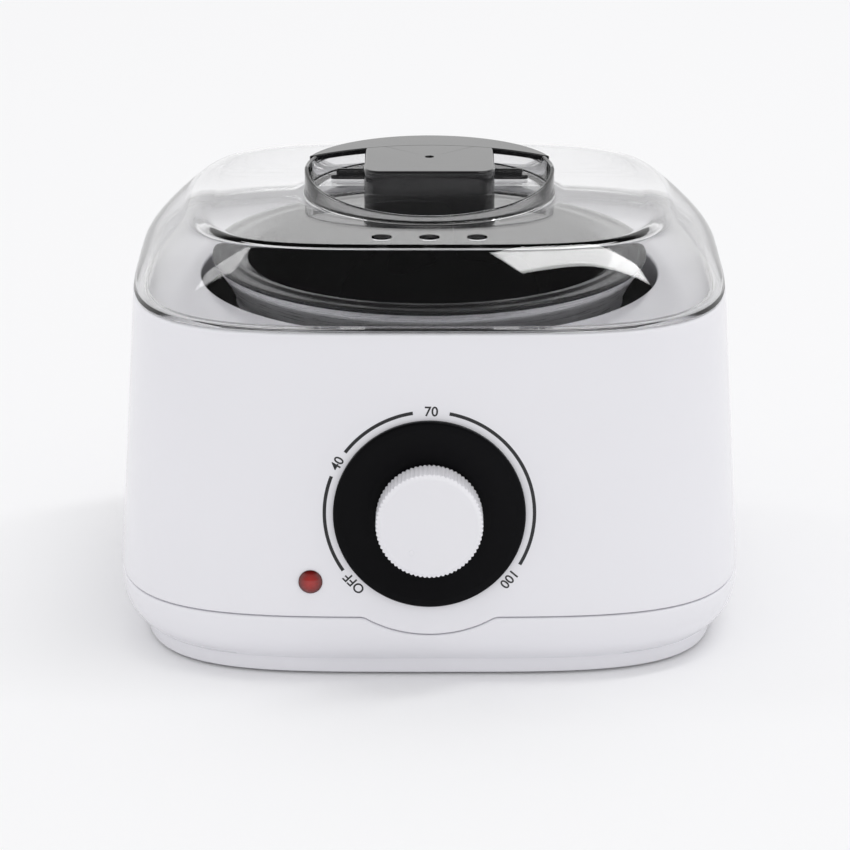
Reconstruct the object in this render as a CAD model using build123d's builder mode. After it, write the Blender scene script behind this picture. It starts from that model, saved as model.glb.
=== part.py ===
# Countertop wax melter: a squarish moulded body, a heated aluminium bowl with a lift-out pot,
# a clear lid with a pinch handle, and a rotary thermostat on the front.
# Millimetres. +Z is up, the front faces -Y, and the feet stand on Z = 0 under the body's centre.
from build123d import *
from math import atan2, cos, degrees, pi, radians, sin
import os

os.makedirs("parts", exist_ok=True)

# ---------------------------------------------------------------- body outline
body_width = 180.0  # across the seam, left to right
body_depth = 165.0  # across the seam, front to back
corner_power = 4.0  # |x/a|^p + |y/b|^p = 1: 2 is an ellipse, higher is squarer
outline_points = 48
foot_projection = 0.8  # how far the feet hold the plinth off the table
cover_top = 5.4  # where the plinth meets the base tray
seam_height = 20.2  # where the base tray meets the upper shell
rim_height = 101.2  # where the lid sits
shell_draft = 5.0  # how far the walls lean in between seam and rim
tray_tuck = 6.2  # how far the tray curls in at its bottom
tray_curl = 3.0  # how late that curl comes
tray_stations = 7
plinth_inset = 6.9

# ---------------------------------------------------------------- walls and fits
shell_wall = 2.6
tray_wall = 4.2
tray_floor = 2.6
ledge_width = 12.0
seam_gap = 0.35
lip_gap = 0.2
lip_rise = 3.3
rim_width = 3.2
rim_round = 1.0
deck_drop = 3.8  # from the rim down to the deck round the opening
deck_thickness = 2.6
fit_gap = 0.1  # between pieces that are fixed together
slide_gap = 0.3  # between pieces that lift apart

# ---------------------------------------------------------------- opening and bowl
opening_radius = 67.0
opening_round = 0.8
collar_wall = 2.4
bowl_radius = 56.9  # outside of the heated bowl
bowl_wall = 1.5
bowl_floor = 33.1
bowl_corner = 9.5
flare_start = 91.0
flare_waist_radius = 59.2
flare_waist_height = 97.2
flare_top_radius = 61.6
flare_land = 1.4  # flat ring that the pot's flange rests on
shoulder_radius = 60.0
shoulder_thickness = 1.2
bracket_thickness = 1.5
bracket_height = 82.4
bracket_rim_radius = 70.5
bracket_screw_radius = 73.0
bracket_ear = 5.5
seal_top = 89.5

# ---------------------------------------------------------------- pot
pot_gap = 0.8  # between pot wall and bowl wall
pot_wall = 1.4
pot_floor_gap = 2.0  # air under the hanging pot
pot_corner = 8.0
pot_seat = 102.0  # the flange's underside, on the bowl's top
flange_radius = 63.7
flange_thickness = 1.5
flange_groove = 0.5
mouth_radius = 53.1

# ---------------------------------------------------------------- lid
lid_rise = 20.2
lid_inset = 18.6  # how far the top's edge stands in from the rim
lid_lean = 1.25  # 1 is a straight slope, higher is steeper at the rim
lid_wall = 2.4
lid_stations = 6
lid_lip_depth = 2.2
lid_lip_wall = 1.6
edge_round = 0.7
vent_radius = 2.9
vent_pitch = 13.3
vent_offset = 51.0
ring_radius = 36.4
ring_wall = 1.8
ring_front_rise = 2.0
ring_side_rise = 7.0
handle_top = 128.4
hoop_radius = 37.3
hoop_eye_radius = 53.6  # the hoop is a crescent: its inner edge is a larger circle, set forward
hoop_eye_offset = 28.7
hoop_thickness = 1.7
hoop_start = 20.0  # degrees above the sideways axis where the hoop begins
bar_width = 38.0
bar_front = 6.0
bar_corner = 4.5
strip_half_length = 29.0
strip_front = 11.5
strip_depth = 4.5
strip_thickness = 1.1
strip_corner = 1.5
ridge_width = 1.4  # along the strip's back edge
ridge_height = 2.3
steam_hole_radius = 1.3
steam_hole_offset = 11.6
steam_hole_depth = 1.6
handle_wall = 2.4
handle_screw_pitch = 22.0
handle_screw_offset = 8.0

# ---------------------------------------------------------------- dial and lamp
dial_height = 50.3
notch_radius = 35.3  # the seam's dip round the dial
notch_fillet = 4.0
bezel_radius = 26.7
bezel_pocket = 0.6
bezel_rim_height = 1.9
bezel_floor_height = 1.1
bezel_dish_radius = 17.0
bushing_radius = 5.0
bushing_reach = 3.9
nut_across_flats = 14.0
nut_thickness = 2.0
shaft_radius = 3.0
shaft_gap = 0.08
shaft_reach = 9.8
shaft_root = 12.0
shaft_flat = 2.2  # from the shaft's centre to its flat
knob_radius = 14.8
knob_base = 2.4
knob_face = 13.3
knob_bevel = 0.6
knob_cavity_radius = 12.0
knob_cap = 2.6
hub_radius = 6.2
hub_base = 4.5
insert_radius = 4.2
knurl_count = 72
knurl_radius = 0.36
marker_radius = 0.7
marker_offset = 8.8
marker_angle = -124.0  # degrees from the right-hand side: lower left
marker_depth = 0.5
thermostat_width = 30.0
thermostat_height = 26.0
thermostat_depth = 13.0
plate_margin = 3.0
plate_thickness = 1.3
lamp_side = -33.1
lamp_height = 30.5
lens_radius = 3.35
lens_barrel = 2.9
lens_dome = 1.5
lens_pocket = 0.3
lens_edge = 0.3
holder_radius = 4.6
holder_length = 11.0
bulb_radius = 2.2

# ---------------------------------------------------------------- heater and wiring
heater_low = 46.0
heater_high = 70.0
heater_thickness = 1.8
heater_split = 7.0
lug_length = 6.0
lug_thickness = 1.4
wrap_thickness = 1.6
wrap_margin = 2.0
wrap_split = 20.0
clamp_bolt_radius = 1.5
shield_radius = 52.0
shield_height = 22.0
shield_thickness = 0.8
shield_rim = 4.0
shield_post_circle = 44.0
shield_post_radius = 3.6
fuse_length = 14.0
fuse_width = 6.0
fuse_height = 4.0
fuse_y = -20.0
clip_length = 24.0
clip_thickness = 0.8
terminal_length = 26.0
terminal_width = 12.0
terminal_height = 11.0
terminal_offset = 56.0
terminal_pitch = 8.0
terminal_row = 3.0  # the two rows of wire holes stand this far each side of the block's middle
terminal_hole_depth = 6.0
inlet_height = 32.0
inlet_flange_radius = 6.6
inlet_flange = 2.0
inlet_body_radius = 5.0
inlet_bore_radius = 3.5
inlet_reach = 7.0  # inside the wall
sleeve_reach = 12.74  # outside the wall
sleeve_end_radius = 4.6
inlet_nut_thickness = 2.5
tab_width = 4.0
tab_length = 5.0
tab_thickness = 0.8
wire_radius = 0.9
wire_bend = 9.0

# ---------------------------------------------------------------- fasteners and feet
boss_inset_x = 24.0  # from the seam's widest and deepest points
boss_inset_y = 24.5
boss_radius = 4.0
screw_radius = 1.5
pilot_gap = 0.1
head_radius = 3.1
head_height = 1.7
cover_plate = 2.6
cover_skirt = 2.4
cover_screw_length = 20.0
small_screw_radius = 1.3
small_head_radius = 2.6
small_head_height = 1.4
bracket_screw_length = 9.0
shield_screw_length = 8.0
handle_screw_length = 8.0
foot_inset_x = 42.0
foot_inset_y = 23.5
foot_radius = 6.5
foot_stem_radius = 2.2
foot_round = 0.8

# ---------------------------------------------------------------- worked out from the above
boss_x = body_width / 2 - boss_inset_x
boss_y = body_depth / 2 - boss_inset_y
foot_x = body_width / 2 - foot_inset_x
foot_y = body_depth / 2 - foot_inset_y
deck_height = rim_height - deck_drop
deck_under = deck_height - deck_thickness
bracket_top = bracket_height + bracket_thickness
shoulder_top = bracket_top + shoulder_thickness
collar_bottom = bracket_top + slide_gap
lid_top = rim_height + lid_rise
lid_under = lid_top - lid_wall
cover_under = cover_top - cover_plate
shell_tilt = atan2(shell_draft, rim_height - seam_height)
pot_radius = bowl_radius - bowl_wall - pot_gap
pot_bottom = bowl_floor + bowl_wall + pot_floor_gap
flange_top = pot_seat + flange_thickness
knob_core_radius = knob_radius - knurl_radius
heater_radius = bowl_radius + fit_gap
wrap_radius = heater_radius + heater_thickness + slide_gap
boss_foot = cover_top + tray_floor + fit_gap
knob_ceiling = knob_face - knob_cap


def body_inset(height):
    """How far the outer wall stands in from the seam outline at a height."""
    if height >= seam_height:
        return shell_draft * (height - seam_height) / (rim_height - seam_height)
    share = (seam_height - height) / (seam_height - cover_top)
    return tray_tuck * share**tray_curl


def squircle(half_x, half_y):
    """Points of |x/a|^p + |y/b|^p = 1, by angle."""
    points = []
    for step in range(outline_points):
        angle = 2 * pi * step / outline_points
        across = abs(cos(angle) / half_x) ** corner_power
        along = abs(sin(angle) / half_y) ** corner_power
        reach = (across + along) ** (-1 / corner_power)
        points.append((reach * cos(angle), reach * sin(angle)))
    return points


def outline(height, inset):
    """The body's outline at a height, moved in by inset."""
    with BuildSketch(Plane.XY.offset(height)) as face:
        with BuildLine():
            half_x = body_width / 2 - inset
            half_y = body_depth / 2 - inset
            Spline(*squircle(half_x, half_y), periodic=True)
        make_face()
    return face.sketch


def low_walls(inset, low, mode=Mode.ADD):
    """The curled part of the body below the seam."""
    step = (seam_height - low) / (tray_stations - 1)
    heights = [low + step * index for index in range(tray_stations)]
    loft(sections=[outline(h, body_inset(h) + inset) for h in heights], mode=mode)


def high_walls(inset, high, mode=Mode.ADD):
    """The leaning part of the body above the seam."""
    heights = (seam_height, high)
    sections = [outline(h, body_inset(h) + inset) for h in heights]
    loft(sections=sections, ruled=True, mode=mode)


def straight_walls(inset, low, high, mode=Mode.ADD):
    """A block with the body's outline and upright sides."""
    loft(sections=[outline(h, inset) for h in (low, high)], ruled=True, mode=mode)


def lid_walls(inset, low, high, mode=Mode.ADD):
    """The lid's leaning walls: the inset from the rim grows as a power of height."""
    step = (high - low) / (lid_stations - 1)
    sections = []
    for index in range(lid_stations):
        height = low + step * index
        share = max(height - rim_height, 0) / lid_rise
        lean = shell_draft + lid_inset * share**lid_lean
        sections.append(outline(height, lean + inset))
    loft(sections=sections, mode=mode)


def upper_zone(grow, y_reach):
    """Everything above the seam, with its dip round the dial, from the centre to the front."""
    with BuildSketch(Plane.XZ) as zone:
        with Locations((0, seam_height - grow)):
            Rectangle(2 * body_width, body_width, align=(Align.CENTER, Align.MIN))
        with Locations((0, dial_height)):
            Circle(notch_radius + grow)
        inner = zone.vertices().filter_by_position(Axis.X, -notch_radius, notch_radius)
        fillet(inner, notch_fillet - grow)
    return extrude(zone.sketch, amount=y_reach, mode=Mode.PRIVATE)


def turned(plane, points, rounds=()):
    """A face to turn round an axis: radius and height points, some corners (number, radius) rounded."""
    with BuildSketch(plane) as profile:
        with BuildLine():
            Polyline(*points, close=True)
        make_face()
        for number, size in rounds:
            fillet(profile.vertices().sort_by_distance(points[number])[0], size)
    return profile.sketch


def screws(centres, seat, length, radius, cap_radius, cap_height, side=1):
    """Pan-head screws whose heads bear on the height seat and whose shanks run up (1) or down (-1)."""
    shank_low = min(seat, seat + side * length)
    cap_low = min(seat, seat - side * cap_height)
    with Locations(*[(x, y, shank_low) for x, y in centres]):
        Cylinder(radius, length, align=upright)
    with Locations(*[(x, y, cap_low) for x, y in centres]):
        Cylinder(cap_radius, cap_height, align=upright)


def holes(centres, low, depth, radius):
    """Upright round holes from the height low."""
    with Locations(*[(x, y, low) for x, y in centres]):
        Cylinder(radius, depth, align=upright, mode=Mode.SUBTRACT)


def block(low, high, mode=Mode.ADD, plane=Plane.XY):
    """A box between two corners, in a plane's own directions."""
    size = [b - a for a, b in zip(low, high)]
    centre = [(a + b) / 2 for a, b in zip(low, high)]
    with Locations(plane.location * Pos(*centre)):
        Box(*size, mode=mode)


def wire(points):
    """A round wire through points, with its corners bent."""
    with BuildPart() as run:
        with BuildLine() as path:
            FilletPolyline(*points, radius=wire_bend)
        with BuildSketch(Plane(origin=path.line @ 0, z_dir=path.line % 0)) as section:
            Circle(wire_radius)
        sweep(sections=section.sketch, path=path.line)
    return run.part


upright = (Align.CENTER, Align.CENTER, Align.MIN)
boss_points = [(x * boss_x, y * boss_y) for x in (1, -1) for y in (1, -1)]
ear_reach = bracket_screw_radius * cos(radians(45))
ear_points = [(x * ear_reach, y * ear_reach) for x in (1, -1) for y in (1, -1)]
post_points = [
    (shield_post_circle * cos(radians(a)), shield_post_circle * sin(radians(a))) for a in (30, 150, 270)
]
handle_screw_points = [(side * handle_screw_pitch / 2, handle_screw_offset) for side in (-1, 1)]

front_y = -(body_depth / 2 - body_inset(dial_height))
outward = (0, -cos(shell_tilt), sin(shell_tilt))
dial_plane = Plane(origin=(0, front_y, dial_height), x_dir=(1, 0, 0), z_dir=outward)
dial_axis = Axis((0, front_y, dial_height), outward)
dial_profile = Plane(
    origin=(0, front_y, dial_height), x_dir=(1, 0, 0), z_dir=(0, -sin(shell_tilt), -cos(shell_tilt))
)
rear_y = body_depth / 2 - body_inset(inlet_height)
rearward = (0, cos(shell_tilt), sin(shell_tilt))
rear_plane = Plane(origin=(0, rear_y, inlet_height), x_dir=(-1, 0, 0), z_dir=rearward)
rear_axis = Axis((0, rear_y, inlet_height), rearward)
rear_profile = Plane(
    origin=(0, rear_y, inlet_height), x_dir=(1, 0, 0), z_dir=(0, -sin(shell_tilt), cos(shell_tilt))
)
lamp_half_x = body_width / 2 - body_inset(lamp_height)
lamp_half_y = body_depth / 2 - body_inset(lamp_height)
lamp_y = -lamp_half_y * (1 - abs(lamp_side / lamp_half_x) ** corner_power) ** (1 / corner_power)
lamp_plane = Plane(origin=(lamp_side, lamp_y, lamp_height), x_dir=(1, 0, 0), z_dir=outward)
lamp_axis = Axis((lamp_side, lamp_y, lamp_height), outward)
lamp_profile = Plane(
    origin=(lamp_side, lamp_y, lamp_height), x_dir=(1, 0, 0), z_dir=(0, -sin(shell_tilt), -cos(shell_tilt))
)

# ---------------------------------------------------------------- upper shell
with BuildPart() as tongue:
    low_walls(0, cover_top)
    add(upper_zone(0, body_depth), mode=Mode.INTERSECT)

with BuildPart() as upper_shell:
    high_walls(0, rim_height)
    add(tongue.part)
    low_walls(shell_wall, cover_top, mode=Mode.SUBTRACT)
    high_walls(shell_wall, deck_under, mode=Mode.SUBTRACT)
    straight_walls(shell_draft + rim_width, deck_height, rim_height + rim_round, mode=Mode.SUBTRACT)
    with BuildSketch(Plane.XY.offset(collar_bottom)):
        Circle(opening_radius + collar_wall)
    extrude(amount=deck_under - collar_bottom)
    with BuildSketch(Plane.XY.offset(boss_foot)):
        with Locations(*boss_points):
            Circle(boss_radius)
    extrude(amount=deck_under - boss_foot)
    with BuildSketch(Plane.XY.offset(bracket_top)):
        with Locations(*ear_points):
            Circle(boss_radius)
    extrude(amount=deck_under - bracket_top)
    with BuildSketch(Plane.XY.offset(collar_bottom)):
        Circle(opening_radius)
    extrude(amount=deck_height - collar_bottom, mode=Mode.SUBTRACT)
    opening_edges = upper_shell.edges().filter_by(GeomType.CIRCLE).filter_by_position(
        Axis.Z, deck_height, deck_height
    )
    fillet(opening_edges, opening_round)
    rim_edges = upper_shell.faces().filter_by(Axis.Z).sort_by(Axis.Z)[-1].outer_wire().edges()
    fillet(rim_edges, rim_round)
    holes(boss_points, boss_foot, cover_screw_length, screw_radius + pilot_gap)
    holes(ear_points, bracket_top, bracket_screw_length, small_screw_radius + pilot_gap)
    with BuildSketch(dial_plane.offset(-bezel_pocket)):
        Circle(bezel_radius + fit_gap)
    extrude(amount=bezel_pocket + rim_round, mode=Mode.SUBTRACT)
    with BuildSketch(dial_plane.offset(-2 * shell_wall)):
        Circle(bushing_radius + slide_gap)
    extrude(amount=3 * shell_wall, mode=Mode.SUBTRACT)
    with BuildSketch(lamp_plane.offset(-2 * shell_wall)):
        Circle(lens_barrel + fit_gap)
    extrude(amount=3 * shell_wall, mode=Mode.SUBTRACT)
    with BuildSketch(lamp_plane.offset(-lens_pocket)):
        Circle(lens_radius + fit_gap)
    extrude(amount=shell_wall, mode=Mode.SUBTRACT)
    with BuildSketch(rear_plane.offset(-2 * shell_wall)):
        Circle(inlet_body_radius + fit_gap)
    extrude(amount=3 * shell_wall, mode=Mode.SUBTRACT)
upper_shell.part.label = "upper_shell"
export_step(upper_shell.part, "parts/upper_shell.step")

# ---------------------------------------------------------------- base tray, plinth and feet
lip_top = seam_height + lip_rise
tray_inside = cover_top + tray_floor
with BuildPart() as base_tray:
    low_walls(0, cover_top)
    add(upper_zone(seam_gap, body_depth), mode=Mode.SUBTRACT)
    block(
        (-body_width, -seam_gap, seam_height - seam_gap),
        (body_width, body_depth, lip_top),
        mode=Mode.SUBTRACT,
    )
    low_walls(shell_wall + lip_gap, cover_top)
    high_walls(shell_wall + lip_gap, lip_top)
    low_walls(tray_wall, tray_inside, mode=Mode.SUBTRACT)
    high_walls(tray_wall, lip_top + seam_gap, mode=Mode.SUBTRACT)
    straight_walls(tray_tuck + ledge_width, cover_top - seam_gap, tray_inside + seam_gap, mode=Mode.SUBTRACT)
    holes(boss_points, cover_top - seam_gap, tray_floor + 2 * seam_gap, screw_radius + slide_gap)
base_tray.part.label = "base_tray"
export_step(base_tray.part, "parts/base_tray.step")

foot_points = [(x * foot_x, y * foot_y) for x in (1, -1) for y in (1, -1)]
with BuildPart() as bottom_cover:
    straight_walls(plinth_inset, foot_projection, cover_top)
    straight_walls(plinth_inset + cover_skirt, foot_projection - fit_gap, cover_under, mode=Mode.SUBTRACT)
    with BuildSketch(Plane.XY.offset(cover_top)):
        with Locations(*post_points):
            Circle(shield_post_radius)
    extrude(amount=shield_height - cover_top)
    post_bore = small_screw_radius + pilot_gap
    holes(post_points, shield_height - shield_screw_length, shield_screw_length, post_bore)
    holes(boss_points, cover_under, cover_plate, screw_radius + slide_gap)
    holes(foot_points, cover_under, cover_plate, foot_stem_radius + fit_gap)
bottom_cover.part.label = "bottom_cover"
export_step(bottom_cover.part, "parts/bottom_cover.step")

for side_x, end_x in ((-1, "left"), (1, "right")):
    for side_y, end_y in ((-1, "front"), (1, "rear")):
        with BuildPart() as foot:
            with Locations((side_x * foot_x, side_y * foot_y, 0)):
                Cylinder(foot_radius, cover_under, align=upright)
                Cylinder(foot_stem_radius, cover_top - fit_gap, align=upright)
            fillet(foot.edges().group_by(Axis.Z)[0], foot_round)
        foot.part.label = f"foot_{end_y}_{end_x}"
        export_step(foot.part, f"parts/foot_{end_y}_{end_x}.step")

with BuildPart() as cover_screws:
    screws(boss_points, cover_under, cover_screw_length, screw_radius, head_radius, head_height)
cover_screws.part.label = "cover_screws"
export_step(cover_screws.part, "parts/cover_screws.step")

# ---------------------------------------------------------------- heated bowl and its bracket
bowl_inside = bowl_radius - bowl_wall
bowl_profile = [
    (0, bowl_floor),
    (bowl_radius, bowl_floor),
    (bowl_radius, bracket_top),
    (shoulder_radius, bracket_top),
    (shoulder_radius, shoulder_top),
    (bowl_radius, shoulder_top),
    (bowl_radius, flare_start),
    (flare_waist_radius, flare_waist_height),
    (flare_top_radius, pot_seat - bowl_wall),
    (flare_top_radius, pot_seat),
    (flare_top_radius - flare_land, pot_seat),
    (flare_waist_radius - flare_land, flare_waist_height),
    (bowl_inside, flare_start),
    (bowl_inside, bowl_floor + bowl_wall),
    (0, bowl_floor + bowl_wall),
]
bowl_rounds = [(1, bowl_corner), (13, bowl_corner - bowl_wall), (7, 4), (11, 4)]
with BuildPart() as heating_bowl:
    revolve(turned(Plane.XZ, bowl_profile, bowl_rounds), axis=Axis.Z)
heating_bowl.part.label = "heating_bowl"
export_step(heating_bowl.part, "parts/heating_bowl.step")

with BuildPart() as bowl_bracket:
    with BuildSketch(Plane.XY.offset(bracket_height)):
        Circle(bracket_rim_radius)
        with Locations(*ear_points):
            Circle(bracket_ear)
        Circle(bowl_radius + slide_gap, mode=Mode.SUBTRACT)
        with Locations(*ear_points):
            Circle(small_screw_radius + slide_gap, mode=Mode.SUBTRACT)
    extrude(amount=bracket_thickness)
bowl_bracket.part.label = "bowl_bracket"
export_step(bowl_bracket.part, "parts/bowl_bracket.step")

with BuildPart() as bracket_screws:
    screws(
        ear_points, bracket_height, bracket_screw_length, small_screw_radius,
        small_head_radius, small_head_height,
    )
bracket_screws.part.label = "bracket_screws"
export_step(bracket_screws.part, "parts/bracket_screws.step")

seal_profile = [
    (bowl_radius + slide_gap, shoulder_top + fit_gap),
    (shoulder_radius + slide_gap, shoulder_top + fit_gap),
    (shoulder_radius + slide_gap, bracket_top + fit_gap),
    (opening_radius - slide_gap, bracket_top + fit_gap),
    (opening_radius - slide_gap, seal_top),
    (bowl_radius + slide_gap, seal_top),
]
with BuildPart() as seal_ring:
    revolve(turned(Plane.XZ, seal_profile), axis=Axis.Z)
seal_ring.part.label = "seal_ring"
export_step(seal_ring.part, "parts/seal_ring.step")

# ---------------------------------------------------------------- band heater
heater_height = heater_high - heater_low
heater_middle = (heater_low + heater_high) / 2
lug_root = heater_radius + heater_thickness / 3
lug_end = heater_radius + heater_thickness + lug_length
bolt_y = lug_end - lug_length / 2
with BuildPart() as band_heater:
    with BuildSketch(Plane.XY.offset(heater_low)):
        Circle(heater_radius + heater_thickness)
        Circle(heater_radius, mode=Mode.SUBTRACT)
        with Locations((0, heater_radius)):
            Rectangle(heater_split, 4 * heater_thickness, mode=Mode.SUBTRACT)
    extrude(amount=heater_height)
    for side in (-1, 1):
        near, far = sorted((side * heater_split / 2, side * (heater_split / 2 + lug_thickness)))
        block((near, lug_root, heater_low), (far, lug_end, heater_high))
    with BuildSketch(Plane.YZ.offset(-heater_split)):
        with Locations((bolt_y, heater_middle)):
            Circle(clamp_bolt_radius + fit_gap)
    extrude(amount=2 * heater_split, mode=Mode.SUBTRACT)
band_heater.part.label = "band_heater"
export_step(band_heater.part, "parts/band_heater.step")

lug_face = heater_split / 2 + lug_thickness
bolt_plane = Plane(origin=(lug_face, bolt_y, heater_middle), x_dir=(0, 1, 0), z_dir=(1, 0, 0))
with BuildPart() as heater_bolt:
    with BuildSketch(bolt_plane):
        Circle(small_head_radius)
    extrude(amount=small_head_height)
    with BuildSketch(bolt_plane):
        Circle(clamp_bolt_radius)
    extrude(amount=-(2 * lug_face + 2 * nut_thickness))
heater_bolt.part.label = "heater_bolt"
export_step(heater_bolt.part, "parts/heater_bolt.step")

with BuildPart() as heater_nut:
    with BuildSketch(bolt_plane.offset(-2 * lug_face)):
        RegularPolygon(small_head_radius, 6)
        Circle(clamp_bolt_radius + fit_gap, mode=Mode.SUBTRACT)
    extrude(amount=-nut_thickness)
heater_nut.part.label = "heater_nut"
export_step(heater_nut.part, "parts/heater_nut.step")

with BuildPart() as insulation_wrap:
    with BuildSketch(Plane.XY.offset(heater_low - wrap_margin)):
        Circle(wrap_radius + wrap_thickness)
        Circle(wrap_radius, mode=Mode.SUBTRACT)
        with Locations((0, wrap_radius)):
            Rectangle(wrap_split, 4 * wrap_thickness, mode=Mode.SUBTRACT)
    extrude(amount=heater_height + 2 * wrap_margin)
insulation_wrap.part.label = "insulation_wrap"
export_step(insulation_wrap.part, "parts/insulation_wrap.step")

# ---------------------------------------------------------------- under the bowl
shield_top = shield_height + shield_thickness
shield_profile = [
    (0, shield_height),
    (shield_radius, shield_height),
    (shield_radius, shield_height + shield_rim),
    (shield_radius - shield_thickness, shield_height + shield_rim),
    (shield_radius - shield_thickness, shield_top),
    (0, shield_top),
]
with BuildPart() as heat_shield:
    revolve(turned(Plane.XZ, shield_profile), axis=Axis.Z)
    holes(post_points, shield_height, shield_thickness, small_screw_radius + slide_gap)
heat_shield.part.label = "heat_shield"
export_step(heat_shield.part, "parts/heat_shield.step")

with BuildPart() as shield_screws:
    screws(
        post_points, shield_top, shield_screw_length, small_screw_radius,
        small_head_radius, small_head_height, -1,
    )
shield_screws.part.label = "shield_screws"
export_step(shield_screws.part, "parts/shield_screws.step")

fuse_top = bowl_floor - fit_gap
fuse_low = fuse_top - fuse_height
with BuildPart() as thermal_fuse:
    with Locations((0, fuse_y, fuse_low)):
        Box(fuse_length, fuse_width, fuse_height, align=upright)
    fillet(thermal_fuse.edges().filter_by(Axis.X), fuse_height / 4)
thermal_fuse.part.label = "thermal_fuse"
export_step(thermal_fuse.part, "parts/thermal_fuse.step")

clip_low = fuse_low - fit_gap - clip_thickness
clip_side = fuse_width / 2 + slide_gap
clip_end = clip_side + (clip_length - fuse_length) / 2
with BuildPart() as fuse_clip:
    half = fuse_length / 4
    block(
        (-half, fuse_y - clip_side - clip_thickness, clip_low),
        (half, fuse_y + clip_side + clip_thickness, clip_low + clip_thickness),
    )
    for side in (-1, 1):
        near, far = sorted((side * clip_side, side * (clip_side + clip_thickness)))
        block((-half, fuse_y + near, clip_low), (half, fuse_y + far, fuse_top))
        near, far = sorted((side * clip_side, side * clip_end))
        block((-half, fuse_y + near, fuse_top - clip_thickness), (half, fuse_y + far, fuse_top))
fuse_clip.part.label = "fuse_clip"
export_step(fuse_clip.part, "parts/fuse_clip.step")

# ---------------------------------------------------------------- pot
mouth_low = pot_bottom + 2 * pot_corner
pot_inside = pot_radius - pot_wall
bead = flange_groove
pot_profile = [
    (0, pot_bottom),
    (pot_radius, pot_bottom),
    (pot_radius, pot_seat),
    (flange_radius - bead, pot_seat),
    (flange_radius, pot_seat + bead),
    (flange_radius, flange_top - bead),
    (flange_radius - bead, flange_top),
    (flange_radius - 4 * bead, flange_top),
    (flange_radius - 5 * bead, flange_top - bead),
    (flange_radius - 10 * bead, flange_top - bead),
    (flange_radius - 11 * bead, flange_top + fit_gap),
    (flange_radius - 14 * bead, flange_top + fit_gap),
    (mouth_radius, pot_seat),
    (pot_inside - bead, mouth_low),
    (pot_inside - bead, pot_bottom + pot_wall),
    (0, pot_bottom + pot_wall),
]
with BuildPart() as inner_pot:
    revolve(turned(Plane.XZ, pot_profile, [(1, pot_corner), (14, pot_corner - pot_wall)]), axis=Axis.Z)
inner_pot.part.label = "inner_pot"
export_step(inner_pot.part, "parts/inner_pot.step")

# ---------------------------------------------------------------- lid
lip_inset = shell_draft + rim_width + slide_gap
lid_land = rim_height + lid_lip_wall
lip_low = rim_height - lid_lip_depth
ring_foot = lid_top - lid_wall / 2
hoop_low = handle_top - hoop_thickness
hoop_y = ring_radius * sin(radians(hoop_start))
with BuildPart() as lid_shell:
    lid_walls(0, rim_height, lid_top)
    top_edges = lid_shell.faces().filter_by(Axis.Z).sort_by(Axis.Z)[-1].outer_wire().edges()
    fillet(top_edges, edge_round)
    straight_walls(lip_inset, lip_low, rim_height)
    lid_walls(lid_wall, lid_land, lid_under, mode=Mode.SUBTRACT)
    straight_walls(lip_inset + lid_lip_wall, lip_low - fit_gap, lid_land + lid_wall, mode=Mode.SUBTRACT)
    with BuildSketch(Plane.XY.offset(ring_foot)):
        Circle(ring_radius)
        Circle(ring_radius - ring_wall, mode=Mode.SUBTRACT)
    extrude(amount=handle_top - ring_foot)
    with BuildSketch(Plane.YZ.offset(-ring_radius)):
        with BuildLine():
            Polyline(
                (-ring_radius - slide_gap, lid_top + ring_front_rise),
                (0, lid_top + ring_side_rise),
                (0, handle_top + slide_gap),
                (-ring_radius - slide_gap, handle_top + slide_gap),
                close=True,
            )
        make_face()
    extrude(amount=2 * ring_radius, mode=Mode.SUBTRACT)
    block(
        (-ring_radius, hoop_y - slide_gap, hoop_low - fit_gap),
        (ring_radius, ring_radius + slide_gap, handle_top + slide_gap),
        mode=Mode.SUBTRACT,
    )
    vents = [(step * vent_pitch, -vent_offset) for step in (-1, 0, 1)]
    holes(vents, lid_under, lid_wall, vent_radius)
    holes(handle_screw_points, lid_under, lid_wall, small_screw_radius + slide_gap)
lid_shell.part.label = "lid_shell"
export_step(lid_shell.part, "parts/lid_shell.step")

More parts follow.
